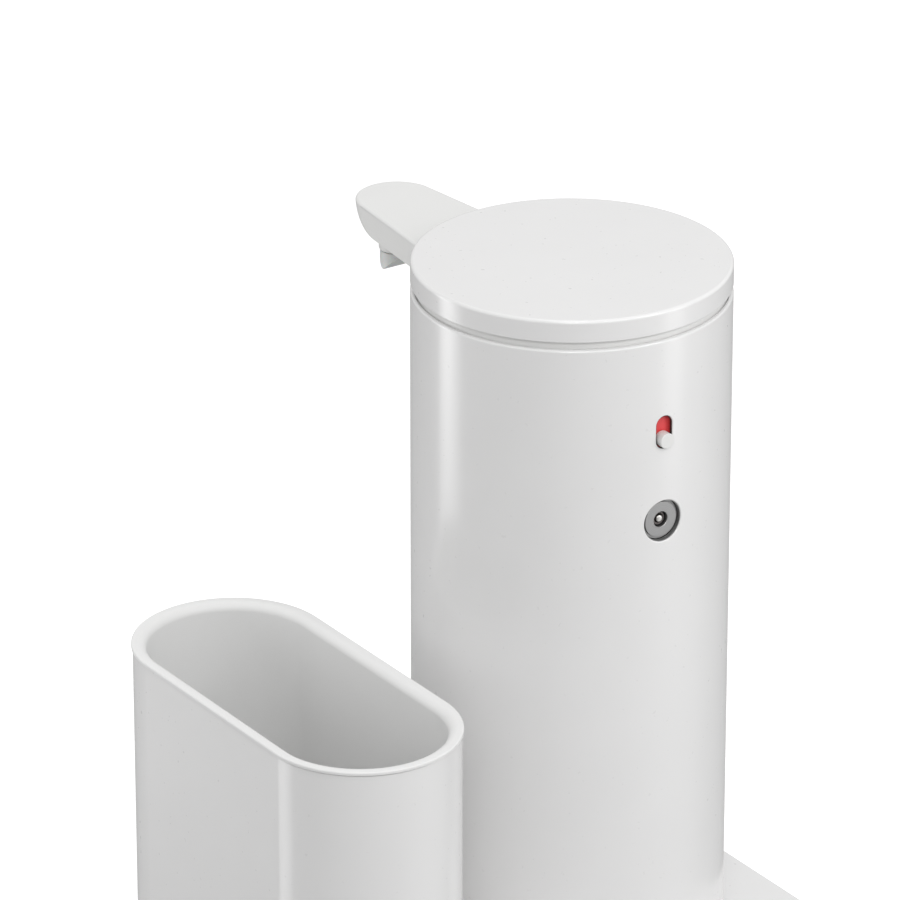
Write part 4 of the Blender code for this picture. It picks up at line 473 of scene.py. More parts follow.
base_low, base_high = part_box("base_cover")
GAP = 0.3 * MM
groove_z = foot_high.z + GAP
base = turned([(MM, base_low.z), (FOOT_INNER - GAP, base_low.z), (FOOT_INNER - GAP, groove_z),
               (FOOT_OUTER + GAP, groove_z), (FOOT_OUTER + GAP, base_low.z),
               (base_high.x - SOFT_EDGE, base_low.z), (base_high.x, base_low.z + SOFT_EDGE),
               (base_high.x, base_high.z), (MM, base_high.z)], solid=True)
base_screws = [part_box("base_screw_%d" % number) for number in (1, 2, 3)]
sinks = []
for low, high in base_screws:
    place = (low + high) / 2
    sinks.append(rod_tool(SINK_RADIUS, base_low.z - MM, low.z + 2 * MM, place.x, place.y))
    sinks.append(rod_tool(SCREW_HOLE, base_low.z, base_high.z + MM, place.x, place.y))
combine(base, "DIFFERENCE", *sinks)
complete(base, "base", "dispenser", "white_plastic", white_plastic, "base_cover")


# Body tube
# A steel tube, 0.9 mm thick, with its top edge rolled round. It is opened for the spout at
# the front, and for the switch slot and the charging port at the back, whose edges are
# eased before the satin white coat goes on.

TUBE_SIDES = 288
TUBE_SHEET = 0.9 * MM
TUBE_ROLL = 0.7 * MM
HOLE_EASE = 0.3 * MM
EASE_STEPS = 4
HOLE_SIDES = 64
ROUNDING = 0.05 * MM
ON_WALL = 0.02 * MM
SQUARE_ON = 0.995
tube_low, tube_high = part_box("body_sleeve")
TUBE_RADIUS = tube_high.x
plate_low, plate_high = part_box("switch_plate")
button_low, button_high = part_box("switch_button")
disc_low, disc_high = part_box("charge_disc")
PORT_Z = (disc_low.z + disc_high.z) / 2
PORT_RADIUS = disc_high.x + GAP
SLOT_WIDTH = 5.0 * MM
SLOT_TRAVEL = 4.0 * MM
BUTTON_Z = (button_low.z + button_high.z) / 2

spout_low, spout_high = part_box("spout_shell")
SPOUT_TAPER = 0.109
SPOUT_ROOT_HALF = 15.4 * MM
SPOUT_SLOPE = math.atan(SPOUT_TAPER)


def spout_half(y):
    """Half the spout's width at a distance in front of the dispenser's axis."""
    return SPOUT_ROOT_HALF - SPOUT_TAPER * (-y - TUBE_RADIUS)


def tapered_block(gap, back, front, low, high):
    """Block with the spout's tapering plan, its sides moved out by the gap."""
    piece = box_tool((-0.5, front, low), (0.5, back, high))
    for end in (back, front):
        pick("VERT", lambda point: near(point.co.y, end))
        half = spout_half(end) + gap / math.cos(SPOUT_SLOPE)
        bpy.ops.transform.resize(value=(2 * half, 1.0, 1.0))
    return piece


def follow_wall(piece):
    """Bend a piece made for a flat wall back round the tube."""
    bpy.ops.object.mode_set(mode="OBJECT")
    for point in piece.data.vertices:
        point.co.y += math.sqrt(TUBE_RADIUS ** 2 - point.co.x ** 2) - TUBE_RADIUS
    return piece


def eased_cutter(radius, z, straight):
    """Cutter for a hole in the back wall whose mouth flares out to follow the round surface."""
    outside = TUBE_RADIUS + MM
    angles = [math.pi / 2 * step / EASE_STEPS for step in range(EASE_STEPS + 1)]
    rings = [(outside, HOLE_EASE)]
    rings += [(TUBE_RADIUS - HOLE_EASE * (1 - math.cos(angle)), HOLE_EASE * (1 - math.sin(angle)))
              for angle in angles]
    rings.append((TUBE_RADIUS / 2, 0.0))
    y, flare = rings[0]
    cutter = begin(bpy.ops.mesh.primitive_circle_add, vertices=HOLE_SIDES, radius=radius + flare,
                   location=(0.0, y, z), rotation=(-math.pi / 2, math.pi / HOLE_SIDES, 0.0),
                   fill_type="NGON")
    for next_y, next_flare in rings[1:]:
        extrude(y=next_y - y)
        grow = (radius + next_flare) / (radius + flare)
        bpy.ops.transform.resize(value=(grow, 1.0, grow))
        y, flare = next_y, next_flare
    pick("VERT", lambda point: point.co.z > z)
    bpy.ops.transform.translate(value=(0.0, 0.0, straight))
    face_out()
    return follow_wall(cutter)


def round_shading(piece, *radii):
    """Give the walls of a tube their true round normals, so that holes leave no dents in them."""
    mesh = piece.data
    normals = [corner.vector.copy() for corner in mesh.corner_normals]
    for face in mesh.polygons:
        for corner in face.loop_indices:
            place = mesh.vertices[mesh.loops[corner].vertex_index].co
            outward = Vector((place.x, place.y, 0.0))
            if not any(near(outward.length, radius, ON_WALL) for radius in radii):
                continue
            outward.normalize()
            lean = face.normal.dot(outward)
            if abs(lean) > SQUARE_ON:
                normals[corner] = outward if lean > 0 else -outward
    mesh.normals_split_custom_set(normals)


tube = begin(bpy.ops.mesh.primitive_circle_add, vertices=TUBE_SIDES, radius=TUBE_RADIUS,
             location=(0.0, 0.0, tube_low.z))
extrude(z=tube_high.z - tube_low.z)
face_out()
bpy.ops.object.mode_set(mode="OBJECT")
wall = tube.modifiers.new("wall", "SOLIDIFY")
wall.thickness = TUBE_SHEET
wall.offset = -1.0
wall.use_even_offset = True
bpy.ops.object.modifier_apply(modifier=wall.name)
edit(tube)
pick("EDGE", lambda edge: level_edges(tube_high.z)(edge)
     and all(near(point.co.xy.length, TUBE_RADIUS, ROUNDING) for point in edge.verts))
round_off(TUBE_ROLL, segments=6)
pick("EDGE", level_edges(tube_low.z))
round_off(SHEET_EASE, segments=2)
combine(tube, "DIFFERENCE",
        tapered_block(GAP, -TUBE_RADIUS / 2, -TUBE_RADIUS - 2 * MM, spout_low.z - GAP,
                      spout_high.z + GAP),
        eased_cutter(SLOT_WIDTH / 2, BUTTON_Z, SLOT_TRAVEL),
        eased_cutter(PORT_RADIUS, PORT_Z, 0.0))
complete(tube, "body_tube", "dispenser", "painted_steel", satin_paint, "body_sleeve")
round_shading(tube, TUBE_RADIUS, TUBE_RADIUS - TUBE_SHEET)


# Neck ring
# A white moulded ring that closes the top of the tube and leaves the thin shadow line under
# the lid. It snaps over the chassis inside.

neck_low, neck_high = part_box("neck_ring")
NECK_UPPER = TUBE_RADIUS - 1.3 * MM
NECK_INNER = TUBE_RADIUS - 6.0 * MM
NECK_STEP = 1.3 * MM
neck = turned(eased([(NECK_INNER, neck_low.z), (neck_high.x, neck_low.z),
                     (neck_high.x, neck_low.z + NECK_STEP), (NECK_UPPER, neck_low.z + NECK_STEP),
                     (NECK_UPPER, neck_high.z), (NECK_INNER, neck_high.z)], SOFT_EDGE / 2),
              sides=192)
complete(neck, "neck", "dispenser", "white_plastic", white_plastic, "neck_ring")


# Spout
# A boat-nosed moulding in the white of the tube. It is hollow from below, its nose curves
# back under the tip, and its flat tongue is screwed down to two posts inside the tube.

SPOUT_EDGE = 1.0 * MM
SPOUT_WALL = 1.4 * MM
TIP_SIDES = 96
NOSE_STEPS = 14
TONGUE_HALF = 7.5 * MM
TONGUE_DEPTH = 2.8 * MM
TONGUE_END = -33.0 * MM
CHASSIS_BORE = 38.5 * MM
COVER_END = -75.6 * MM
CHANNEL_HALF = 2.05 * MM
STEM_BORE = 3.4 * MM
SINK_DEPTH = 1.5 * MM
SPOUT_DEPTH = spout_high.z - spout_low.z
SPOUT_TIP = spout_low.y


def tip_arc(setback):
    """Centre and radius of the spout's round end when its tip is moved back."""
    tip = SPOUT_TIP + setback
    radius = math.cos(SPOUT_SLOPE) * spout_half(tip) / (1 - SPOUT_TAPER * math.cos(SPOUT_SLOPE))
    return tip + radius, radius


centre_y, tip_radius = tip_arc(0.0)
NOZZLE_Y = centre_y
tangent_y = centre_y - tip_radius * math.sin(SPOUT_SLOPE)
spout = begin(bpy.ops.mesh.primitive_circle_add, vertices=TIP_SIDES, radius=tip_radius,
              location=(0.0, centre_y, spout_high.z), fill_type="NGON")
bpy.ops.mesh.bisect(plane_co=(0.0, tangent_y, 0.0), plane_no=(0.0, 1.0, 0.0), clear_outer=True)
pick("EDGE", lambda edge: all(near(point.co.y, tangent_y) for point in edge.verts))
extrude(y=-CHASSIS_BORE - tangent_y)
widen = spout_half(-CHASSIS_BORE) / (tip_radius * math.cos(SPOUT_SLOPE))
bpy.ops.transform.resize(value=(widen, 1.0, 1.0))
pick("FACE", lambda face: True)
bpy.ops.mesh.dissolve_faces()
level = spout_high.z
for step in range(1, NOSE_STEPS + 1):
    drop = SPOUT_DEPTH * math.sin(math.pi / 2 * step / NOSE_STEPS)
    setback = SPOUT_DEPTH - math.sqrt(max(SPOUT_DEPTH ** 2 - drop ** 2, 0.0))
    next_level = spout_high.z - drop
    pick("FACE", lambda face: abs(face.normal.z) > FLAT
         and near(face.calc_center_median().z, level))
    extrude(z=next_level - level)
    level = next_level
    next_centre, next_radius = tip_arc(setback)
    pick("VERT", lambda point: near(point.co.z, level) and point.co.y < -CHASSIS_BORE - MM)
    grow = next_radius / tip_radius
    bpy.ops.transform.resize(value=(grow, grow, 1.0), center_override=(0.0, centre_y, level))
    bpy.ops.transform.translate(value=(0.0, next_centre - centre_y, 0.0))
    centre_y, tip_radius = next_centre, next_radius
pick("EDGE", lambda edge: level_edges(spout_high.z)(edge)
     and not all(near(point.co.y, -CHASSIS_BORE) for point in edge.verts))
round_off(SPOUT_EDGE, segments=6)
face_out()
ceiling = spout_high.z - SPOUT_WALL
tongue = box_tool((-TONGUE_HALF, -CHASSIS_BORE - 3 * MM, spout_high.z - TONGUE_DEPTH),
                  (TONGUE_HALF, TONGUE_END, spout_high.z))
combine(spout, "UNION", tongue)
spout_screws = [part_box("spout_screw_1"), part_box("spout_screw_2")]
cutters = [tapered_block(-SPOUT_WALL, -TUBE_RADIUS, COVER_END, spout_low.z - MM, ceiling),
           rod_tool(STEM_BORE, spout_low.z - MM, ceiling, 0.0, NOZZLE_Y, 48),
           box_tool((-STEM_BORE, NOZZLE_Y, spout_low.z - MM),
                    (STEM_BORE, COVER_END + MM, ceiling)),
           rod_tool(CHASSIS_BORE + GAP, spout_low.z - MM, spout_high.z - TONGUE_DEPTH, sides=192),
           box_tool((-CHANNEL_HALF, -TUBE_RADIUS - 3 * MM, spout_low.z - MM),
                    (CHANNEL_HALF, TONGUE_END + 3 * MM, ceiling))]
for low, high in spout_screws:
    place = (low + high) / 2
    cutters.append(rod_tool(SCREW_HOLE, low.z, high.z, place.x, place.y))
    cutters.append(rod_tool(SINK_RADIUS, high.z - SINK_DEPTH, high.z + MM, place.x, place.y))
combine(spout, "DIFFERENCE", *cutters)
complete(spout, "spout", "dispenser", "white_plastic", white_plastic, "spout_shell", sharp=32.0)


# Cover and sensor window under the spout
# A thin moulded cover clips into the open underside. Near the tube it steps down to a thicker
# pad that carries the dark window of the hand sensor.

COVER_EASE = 0.2 * MM
COVER_RAMP = 0.9 * MM
COVER_STEP_Y = -60.5 * MM
COVER_STEP = 0.5 * MM
WINDOW_CORNER = 0.8 * MM
WINDOW_EASE = 0.15 * MM
LENS_SMEAR = 3.0 * MM
cover_low, cover_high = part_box("spout_under_cover")
window_low, window_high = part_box("sensor_window")
cover = tapered_block(-SPOUT_WALL - GAP, -TUBE_RADIUS - GAP, COVER_END + GAP,
                      cover_low.z + COVER_STEP, cover_high.z)
bpy.ops.mesh.select_all(action="SELECT")
bpy.ops.mesh.bisect(plane_co=(0.0, COVER_STEP_Y, 0.0), plane_no=(0.0, 1.0, 0.0))
pick("FACE", lambda face: facing_down(face) and face.calc_center_median().y > COVER_STEP_Y)
extrude(z=-COVER_STEP)
pick("VERT", lambda point: near(point.co.z, cover_low.z) and near(point.co.y, COVER_STEP_Y))
bpy.ops.transform.translate(value=(0.0, COVER_RAMP, 0.0))
pick("EDGE", level_edges(cover_low.z))
round_off(COVER_EASE, segments=3)
combine(cover, "DIFFERENCE",
        box_tool((window_low.x - GAP, window_low.y - GAP, cover_low.z - MM),
                 (window_high.x + GAP, window_high.y + GAP, cover_high.z + MM)))
complete(cover, "spout_cover", "dispenser", "white_plastic", white_plastic, "spout_under_cover")

tinted_plastic = finish("dark_window_plastic", {"Coat Weight": 0.5, "Coat Roughness": 0.04},
                        grainy(deep=(0.020, 0.007, 0.012), light=(0.040, 0.013, 0.022),
                               size=LENS_SMEAR, rough=(0.06, 0.12)))

window = box_tool(window_low, window_high)
pick("EDGE", lambda edge: abs(edge.verts[0].co.z - edge.verts[1].co.z) > GAP)
round_off(WINDOW_CORNER, segments=6)
pick("EDGE", level_edges(window_low.z))
round_off(WINDOW_EASE, segments=2)
complete(window, "window", "dispenser", "tinted_plastic", tinted_plastic, "sensor_window")


# Nozzle
# A white collar is pressed up into the nose. Under it hangs the duckbill valve, moulded in
# milky silicone: a short tube whose two flats close to a slit across the spout.

COLLAR_EASE = 0.3 * MM
NOZZLE_BORE = 2.4 * MM
VALVE_STEM = 3.7 * MM
VALVE_FLANGE = 0.7 * MM
VALVE_STEM_LENGTH = 1.6 * MM
SLIT_HALF = 0.45 * MM
LIP_SLIT = 0.3 * MM
VALVE_HAZE = 1.5 * MM
collar_low, collar_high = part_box("nozzle_collar")
COLLAR_RADIUS = collar_high.x
collar_top = spout_low.z - GAP
socket_z = collar_low.z + VALVE_STEM_LENGTH + GAP
collar = turned([(NOZZLE_BORE, socket_z), (VALVE_STEM + GAP, socket_z),
                 (VALVE_STEM + GAP, collar_low.z), (COLLAR_RADIUS - COLLAR_EASE, collar_low.z),
                 (COLLAR_RADIUS - COLLAR_EASE * CORNER_CUT,
                  collar_low.z + COLLAR_EASE * CORNER_CUT),
                 (COLLAR_RADIUS, collar_low.z + COLLAR_EASE), (COLLAR_RADIUS, collar_top),
                 (STEM_BORE - GAP, collar_top), (STEM_BORE - GAP, collar_high.z),
                 (NOZZLE_BORE, collar_high.z)], y=NOZZLE_Y)
complete(collar, "collar", "dispenser", "white_plastic", white_plastic, "nozzle_collar")

milky_silicone = finish("milky_silicone", {"Subsurface Weight": 0.25, "Subsurface Scale": MM},
                        grainy(deep=(0.66, 0.67, 0.66), light=(0.74, 0.75, 0.74),
                               size=VALVE_HAZE, rough=(0.36, 0.48)))

valve_low, valve_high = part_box("duckbill_valve")
VALVE_RADIUS = valve_high.x
flange_top = valve_high.z - VALVE_STEM_LENGTH
flange_low = flange_top - VALVE_FLANGE
valve = turned([(VALVE_RADIUS, valve_low.z), (VALVE_RADIUS, flange_low),
                (VALVE_RADIUS, flange_top), (VALVE_STEM, flange_top),
                (VALVE_STEM, valve_high.z)], sides=64, y=NOZZLE_Y, solid=True)
face_out()
cheeks = []
for side in (-1, 1):
    near_y = NOZZLE_Y + side * SLIT_HALF
    far_y = NOZZLE_Y + side * 2 * VALVE_RADIUS
    cheek = box_tool((-2 * VALVE_RADIUS, min(near_y, far_y), valve_low.z - WELD),
                     (2 * VALVE_RADIUS, max(near_y, far_y), flange_low))
    pick("VERT", lambda point: near(point.co.y, near_y) and point.co.z > valve_low.z)
    bpy.ops.transform.translate(value=(0.0, side * (VALVE_RADIUS - SLIT_HALF), 0.0))
    cheeks.append(cheek)
cheeks.append(box_tool((-VALVE_RADIUS + LIP_SLIT, NOZZLE_Y - SLIT_HALF / 3, valve_low.z - MM),
                       (VALVE_RADIUS - LIP_SLIT, NOZZLE_Y + SLIT_HALF / 3, flange_low - MM)))
combine(valve, "DIFFERENCE", *cheeks)
complete(valve, "valve", "dispenser", "silicone", milky_silicone, "duckbill_valve", sharp=25.0)


# Power switch
# A white round button slides in the slot at the back. It stands on a red plate behind the
# wall that slides with it; a thin black bush lines the slot, and its black is painted shade
# for the slot's wall.

BUTTON_EDGE = 0.2 * MM
BUTTON_RADIUS = button_high.x
BUSH_WALL = 0.12 * MM
BUSH_PLAY = 0.02 * MM
BUSH_DEPTH = 0.7 * MM
NUB_HALF = 1.2 * MM
PLATE_THICKNESS = 1.0 * MM
PLATE_CORNER = 0.5 * MM


def rounded_rim(radius, face, edge, steps=4):
    """Profile points over a rounded edge, from the side to the face."""
    angles = [math.pi / 2 * step / steps for step in range(steps + 1)]
    return [(radius - edge * (1 - math.cos(angle)), face - edge * (1 - math.sin(angle)))
            for angle in angles]


red_plastic = finish("red_plate_plastic", {},
                     grainy(deep=(0.72, 0.050, 0.055), light=(0.80, 0.070, 0.075),
                            size=0.3 * MM, rough=(0.4, 0.5), depth=MOULD_RELIEF))
black_plastic = finish("black_moulding", {},
                       grainy(deep=(0.014, 0.013, 0.013), light=(0.03, 0.028, 0.028),
                              size=0.4 * MM, rough=(0.3, 0.45), depth=MOULD_RELIEF))

button = turned([(BUTTON_RADIUS, button_low.y)]
                + rounded_rim(BUTTON_RADIUS, button_high.y, BUTTON_EDGE),
                sides=64, z=BUTTON_Z, facing_back=True, solid=True)
complete(button, "button", "power_switch", "white_plastic", white_plastic, "switch_button")

plate = box_tool((plate_low.x, plate_high.y - PLATE_THICKNESS, plate_low.z), plate_high)
pick("EDGE", lambda edge: abs(edge.verts[0].co.y - edge.verts[1].co.y) > GAP)
round_off(PLATE_CORNER, segments=4)
face_out()
combine(plate, "UNION", box_tool((-NUB_HALF, plate_low.y, BUTTON_Z - NUB_HALF),
                                 (NUB_HALF, plate_high.y - PLATE_THICKNESS / 2,
                                  BUTTON_Z + NUB_HALF)))
complete(plate, "red_plate", "power_switch", "red_plastic", red_plastic, "switch_plate")


def lining(radius, z, straight, depth):
    """Thin bush just inside a hole of the back wall, its front edge following the surface."""
    radius -= BUSH_PLAY
    front = TUBE_RADIUS - HOLE_EASE
    piece = turned([(radius - BUSH_WALL, front - depth), (radius, front - depth), (radius, front),
                    (radius - BUSH_WALL, front)], sides=HOLE_SIDES, z=z, facing_back=True)
    bpy.ops.mesh.select_all(action="SELECT")
    bpy.ops.mesh.remove_doubles(threshold=WELD)
    bpy.ops.transform.rotate(value=math.pi / HOLE_SIDES, orient_axis="Y",
                             center_override=(0.0, front, z))
    pick("VERT", lambda point: point.co.z > z)
    bpy.ops.transform.translate(value=(0.0, 0.0, straight))
    return follow_wall(piece)


# painted shade: the bush's black stands in for the shade inside the slot
bush = lining(SLOT_WIDTH / 2, BUTTON_Z, SLOT_TRAVEL, BUSH_DEPTH)
complete(bush, "slot_shade_bush", "dispenser", "black_plastic", black_plastic)


# Charging port
# A turned steel disc sits in a black housing behind the wall, which a thin steel bush lines.
# Its eye holds a sprung contact in a smoky insulator; a magnetic lead snaps on to the disc.

PORT_EYE = 2.1 * MM
DISC_EDGE = 0.15 * MM
DISC_FACE = 4.85 * MM
DISC_STEP = 0.6 * MM
RING_SPREAD = 1.32 * MM
RING_RELIEF = 0.002 * MM
HOUSING_WALL = 0.9 * MM
BEZEL_DEPTH = 1.3 * MM
INSULATOR_BORE = 1.3 * MM
INSULATOR_EASE = 0.1 * MM
PIN_RADIUS = 1.0 * MM
PIN_DOME = 0.45 * MM


def turned_steel(place):
    centred = place.node("ShaderNodeMapping", {}, {"Vector": place, "Scale": (1.0, 0.0, 1.0),
                                                   "Location": (0.0, 0.0, -PORT_Z)})
    rings = place.node("ShaderNodeTexWave", {"wave_type": "RINGS", "rings_direction": "SPHERICAL"},
                       {"Vector": centred, "Scale": 1 / RING_SPREAD, "Distortion": 0.4}, "Fac")
    return {"Base Color": tint(rings, (0.36, 0.36, 0.36), (0.42, 0.42, 0.42)),
            "Roughness": rings * 0.08 + 0.42,
            "Normal": relief(rings, RING_RELIEF)}


disc_steel = finish("turned_disc_steel", {"Metallic": 1.0}, turned_steel)
smoky_plastic = finish("smoky_moulding", {},
                       grainy(deep=(0.10, 0.088, 0.086), light=(0.14, 0.124, 0.12),
                              size=0.4 * MM, rough=(0.3, 0.45)))
pin_metal = finish("plated_pin", {"Metallic": 1.0},
                   grainy(deep=(0.60, 0.59, 0.57), light=(0.72, 0.71, 0.69),
                          size=1.0 * MM, rough=(0.18, 0.28)))

disc = turned([(PORT_EYE, disc_low.y), (disc_high.x, disc_low.y),
               (disc_high.x, disc_high.y - DISC_STEP), (DISC_FACE, disc_high.y - DISC_STEP)]
              + rounded_rim(DISC_FACE, disc_high.y, DISC_EDGE)
              + [(PORT_EYE + DISC_EDGE, disc_high.y), (PORT_EYE, disc_high.y - DISC_EDGE)],
              z=PORT_Z, facing_back=True)
complete(disc, "port_disc", "dispenser", "steel", disc_steel, "charge_disc")

housing_low, housing_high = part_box("charge_housing")
HOUSING_RADIUS = housing_high.x
housing = turned([(HOUSING_RADIUS, housing_low.y), (HOUSING_RADIUS, housing_high.y - SOFT_EDGE),
                  (HOUSING_RADIUS - SOFT_EDGE, housing_high.y),
                  (HOUSING_RADIUS - HOUSING_WALL, housing_high.y),
                  (HOUSING_RADIUS - HOUSING_WALL, housing_low.y + HOUSING_WALL)],
                 z=PORT_Z, facing_back=True, solid=True)
complete(housing, "port_housing", "dispenser", "black_plastic", black_plastic, "charge_housing")

bezel = lining(PORT_RADIUS, PORT_Z, 0.0, BEZEL_DEPTH)
complete(bezel, "port_bush", "dispenser", "steel", disc_steel)

insulator_low, insulator_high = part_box("charge_insulator")
insulator = turned(eased([(INSULATOR_BORE, insulator_low.y), (insulator_high.x, insulator_low.y),
                          (insulator_high.x, insulator_high.y),
                          (INSULATOR_BORE, insulator_high.y)], INSULATOR_EASE),
                   sides=48, z=PORT_Z, facing_back=True)
complete(insulator, "port_insulator", "dispenser", "black_plastic", smoky_plastic,
         "charge_insulator")

pin_low, pin_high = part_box("charge_pin")
pin = turned([(PIN_RADIUS, pin_low.y)] + rounded_rim(PIN_RADIUS, pin_high.y, PIN_DOME), sides=48,
             z=PORT_Z, facing_back=True, solid=True)
complete(pin, "port_pin", "dispenser", "brass", pin_metal, "charge_pin")


# Lid
# A steel cap pressed with a rounded top edge, satin white like the tube. The moulded plug
# inside it closes the filling mouth, with a ring of grey silicone in a groove round it.

LID_SIDES = 256
LID_EDGE = 0.9 * MM
LID_TOP_WALL = 1.8 * MM
LID_SKIRT = 2.4 * MM
lid_low, lid_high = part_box("lid_cap")
lid = rod_tool(lid_high.x, lid_low.z, lid_high.z, sides=LID_SIDES)
pick("EDGE", level_edges(lid_high.z))
round_off(LID_EDGE, segments=7)
pick("EDGE", level_edges(lid_low.z))
round_off(SHEET_EASE, segments=2)
pick("FACE", facing_down)
bpy.ops.mesh.inset(thickness=LID_SKIRT - SHEET_EASE)
extrude(z=lid_high.z - LID_TOP_WALL - lid_low.z)
complete(lid, "lid", "lid", "painted_steel", satin_paint, "lid_cap")

plug_low, plug_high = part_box("lid_plug")
gasket_low, gasket_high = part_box("lid_gasket")
PLUG_RADIUS = 26.4 * MM
GROOVE_RADIUS = PLUG_RADIUS - 1.0 * MM
flange_low = lid_low.z + GAP
plug = turned([(PLUG_RADIUS - 4 * SOFT_EDGE, plug_low.z),
               (PLUG_RADIUS - SOFT_EDGE, plug_low.z + SOFT_EDGE),
               (PLUG_RADIUS, plug_low.z + 3 * SOFT_EDGE),
               (PLUG_RADIUS, gasket_low.z - GAP), (GROOVE_RADIUS, gasket_low.z - GAP),
               (GROOVE_RADIUS, gasket_high.z + GAP), (PLUG_RADIUS, gasket_high.z + GAP),
               (PLUG_RADIUS, flange_low), (plug_high.x - SOFT_EDGE, flange_low),
               (plug_high.x, flange_low + SOFT_EDGE), (plug_high.x, plug_high.z)], sides=160,
              solid=True)
complete(plug, "plug", "lid", "white_plastic", white_plastic, "lid_plug")

gasket_mid = (gasket_low.z + gasket_high.z) / 2
GASKET_ROLL = (gasket_high.z - gasket_low.z) / 2
GASKET_STEPS = 8
turns = [math.pi * step / GASKET_STEPS for step in range(GASKET_STEPS + 1)]
gasket = turned([(GROOVE_RADIUS + GAP, gasket_low.z)]
                + [(gasket_high.x - GASKET_ROLL * (1 - math.sin(turn)),
                    gasket_mid - GASKET_ROLL * math.cos(turn)) for turn in turns]
                + [(GROOVE_RADIUS + GAP, gasket_high.z)], sides=160)
complete(gasket, "gasket", "lid", "silicone", grey_silicone, "lid_gasket")


# Filling funnel
# A white moulded deck over the tank. Its round mouth narrows to the throat through which
# soap is poured; the plug of the lid closes it.

MOUTH_RADIUS = 27.0 * MM
MOUTH_LAND = 3.6 * MM
THROAT_RADIUS = 19.0 * MM
FUNNEL_FLOOR = 1.6 * MM
RISER_GROOVE = 12.0 * MM
RISER_CENTRE = -42.0 * MM
GROOVE_LIP = 3.0 * MM
funnel_low, funnel_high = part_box("fill_funnel")
FUNNEL_RADIUS = funnel_high.x
funnel = rod_tool(FUNNEL_RADIUS, funnel_low.z, funnel_high.z, sides=192)
combine(funnel, "DIFFERENCE",
        rod_tool(RISER_GROOVE, funnel_low.z - MM, funnel_high.z + MM, 0.0, RISER_CENTRE, 96))
edit(funnel)
riser = Vector((0.0, RISER_CENTRE))
pick("EDGE", lambda edge: abs(edge.verts[0].co.z - edge.verts[1].co.z) > MM
     and near((edge.verts[0].co.xy - riser).length, RISER_GROOVE, ON_WALL)
     and near(edge.verts[0].co.xy.length, FUNNEL_RADIUS, ROUNDING))
round_off(GROOVE_LIP / 2, segments=6)
pick("EDGE", level_edges(funnel_high.z))
round_off(SOFT_EDGE, segments=2)
mouth = turned([(THROAT_RADIUS, funnel_low.z - MM), (THROAT_RADIUS, funnel_low.z + FUNNEL_FLOOR),
                (MOUTH_RADIUS, funnel_high.z - MOUTH_LAND),
                (MOUTH_RADIUS, funnel_high.z - 2 * SOFT_EDGE),
                (MOUTH_RADIUS + 3 * SOFT_EDGE, funnel_high.z + SOFT_EDGE)], sides=192, solid=True)
face_out()
combine(funnel, "DIFFERENCE", mouth)
complete(funnel, "funnel", "dispenser", "white_plastic", white_plastic, "fill_funnel")


# Screws
# Small pan-head steel screws with a cross recess: two through the cup's floor, three up
# through the base cover, and two down through the spout's tongue.

HEAD_RADIUS = 2.1 * MM
HEAD_HEIGHT = 1.2 * MM
SHANK_RADIUS = 1.1 * MM
CROSS_LONG = 1.25 * MM
CROSS_SHORT = 0.3 * MM
CROSS_DEPTH = 0.7 * MM
THREAD_PITCH = 0.8 * MM
TIP_SHARE = 0.55
ROOT_SHARE = 0.78
RIM_SHARE = 0.35
DOME_STEPS = 6
BRUSH_STRETCH = 0.08


def brushed_steel(place):
    streaks = place.node("ShaderNodeMapping", {}, {"Vector": place,
                                                   "Scale": (1.0, 1.0, BRUSH_STRETCH)})
    brush = grain(streaks, 0.25 * MM, 3.0)
    return {"Base Color": tint(brush, (0.52, 0.52, 0.53), (0.62, 0.62, 0.63)),
            "Roughness": brush * 0.14 + 0.24,
            "Normal": relief(brush, 0.002 * MM)}


plain_steel = finish("plain_steel", {"Metallic": 1.0}, brushed_steel)


def screw(node, body, head_up):
    """Screw with a domed head, a cross recess and a ridged shank, in its CAD node's place."""
    low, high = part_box(node)
    middle = (low + high) / 2
    length = high.z - low.z - HEAD_HEIGHT
    root_radius = SHANK_RADIUS * ROOT_SHARE
    profile = [(SHANK_RADIUS * TIP_SHARE, -length)]
    threads = int((length - 2 * THREAD_PITCH) / THREAD_PITCH)
    for thread in range(threads):
        root = -length + THREAD_PITCH * (thread + 1)
        profile += [(root_radius, root), (SHANK_RADIUS, root + THREAD_PITCH / 2)]
    profile += [(root_radius, -length + THREAD_PITCH * (threads + 1)), (root_radius, 0.0)]
    profile += [(HEAD_RADIUS, 0.0), (HEAD_RADIUS, HEAD_HEIGHT * RIM_SHARE)]
    for step in range(1, DOME_STEPS):
        angle = math.pi / 2 * step / DOME_STEPS
        rise = RIM_SHARE + (1 - RIM_SHARE) * math.sin(angle)
        profile.append((HEAD_RADIUS * math.cos(angle), HEAD_HEIGHT * rise))
    seat = high.z - HEAD_HEIGHT if head_up else low.z + HEAD_HEIGHT
    side = 1 if head_up else -1
    piece = turned([(radius, side * height) for radius, height in profile], sides=32,
                   x=middle.x, y=middle.y, z=seat, solid=True)
    face_out()
    top = high.z if head_up else low.z
    reach = [(CROSS_LONG, CROSS_SHORT), (CROSS_SHORT, CROSS_LONG)]
    recess = [box_tool((middle.x - x, middle.y - y, top - CROSS_DEPTH),
                       (middle.x + x, middle.y + y, top + CROSS_DEPTH)) for x, y in reach]
    combine(piece, "DIFFERENCE", *recess)
    complete(piece, node.replace("screw", "cross_screw"), body, "steel", plain_steel, node)


for number in (1, 2):
    screw("cup_screw_%d" % number, "caddy", True)
    screw("spout_screw_%d" % number, "dispenser", True)
for number in (1, 2, 3):
    screw("base_screw_%d" % number, "dispenser", False)


# Inner works
# Pieces that the wall and the tray hide keep their CAD shape. The loop gives each node the
# finish that such a piece has: mouldings, board, cell, motor, gears, shafts, pump and tubes.

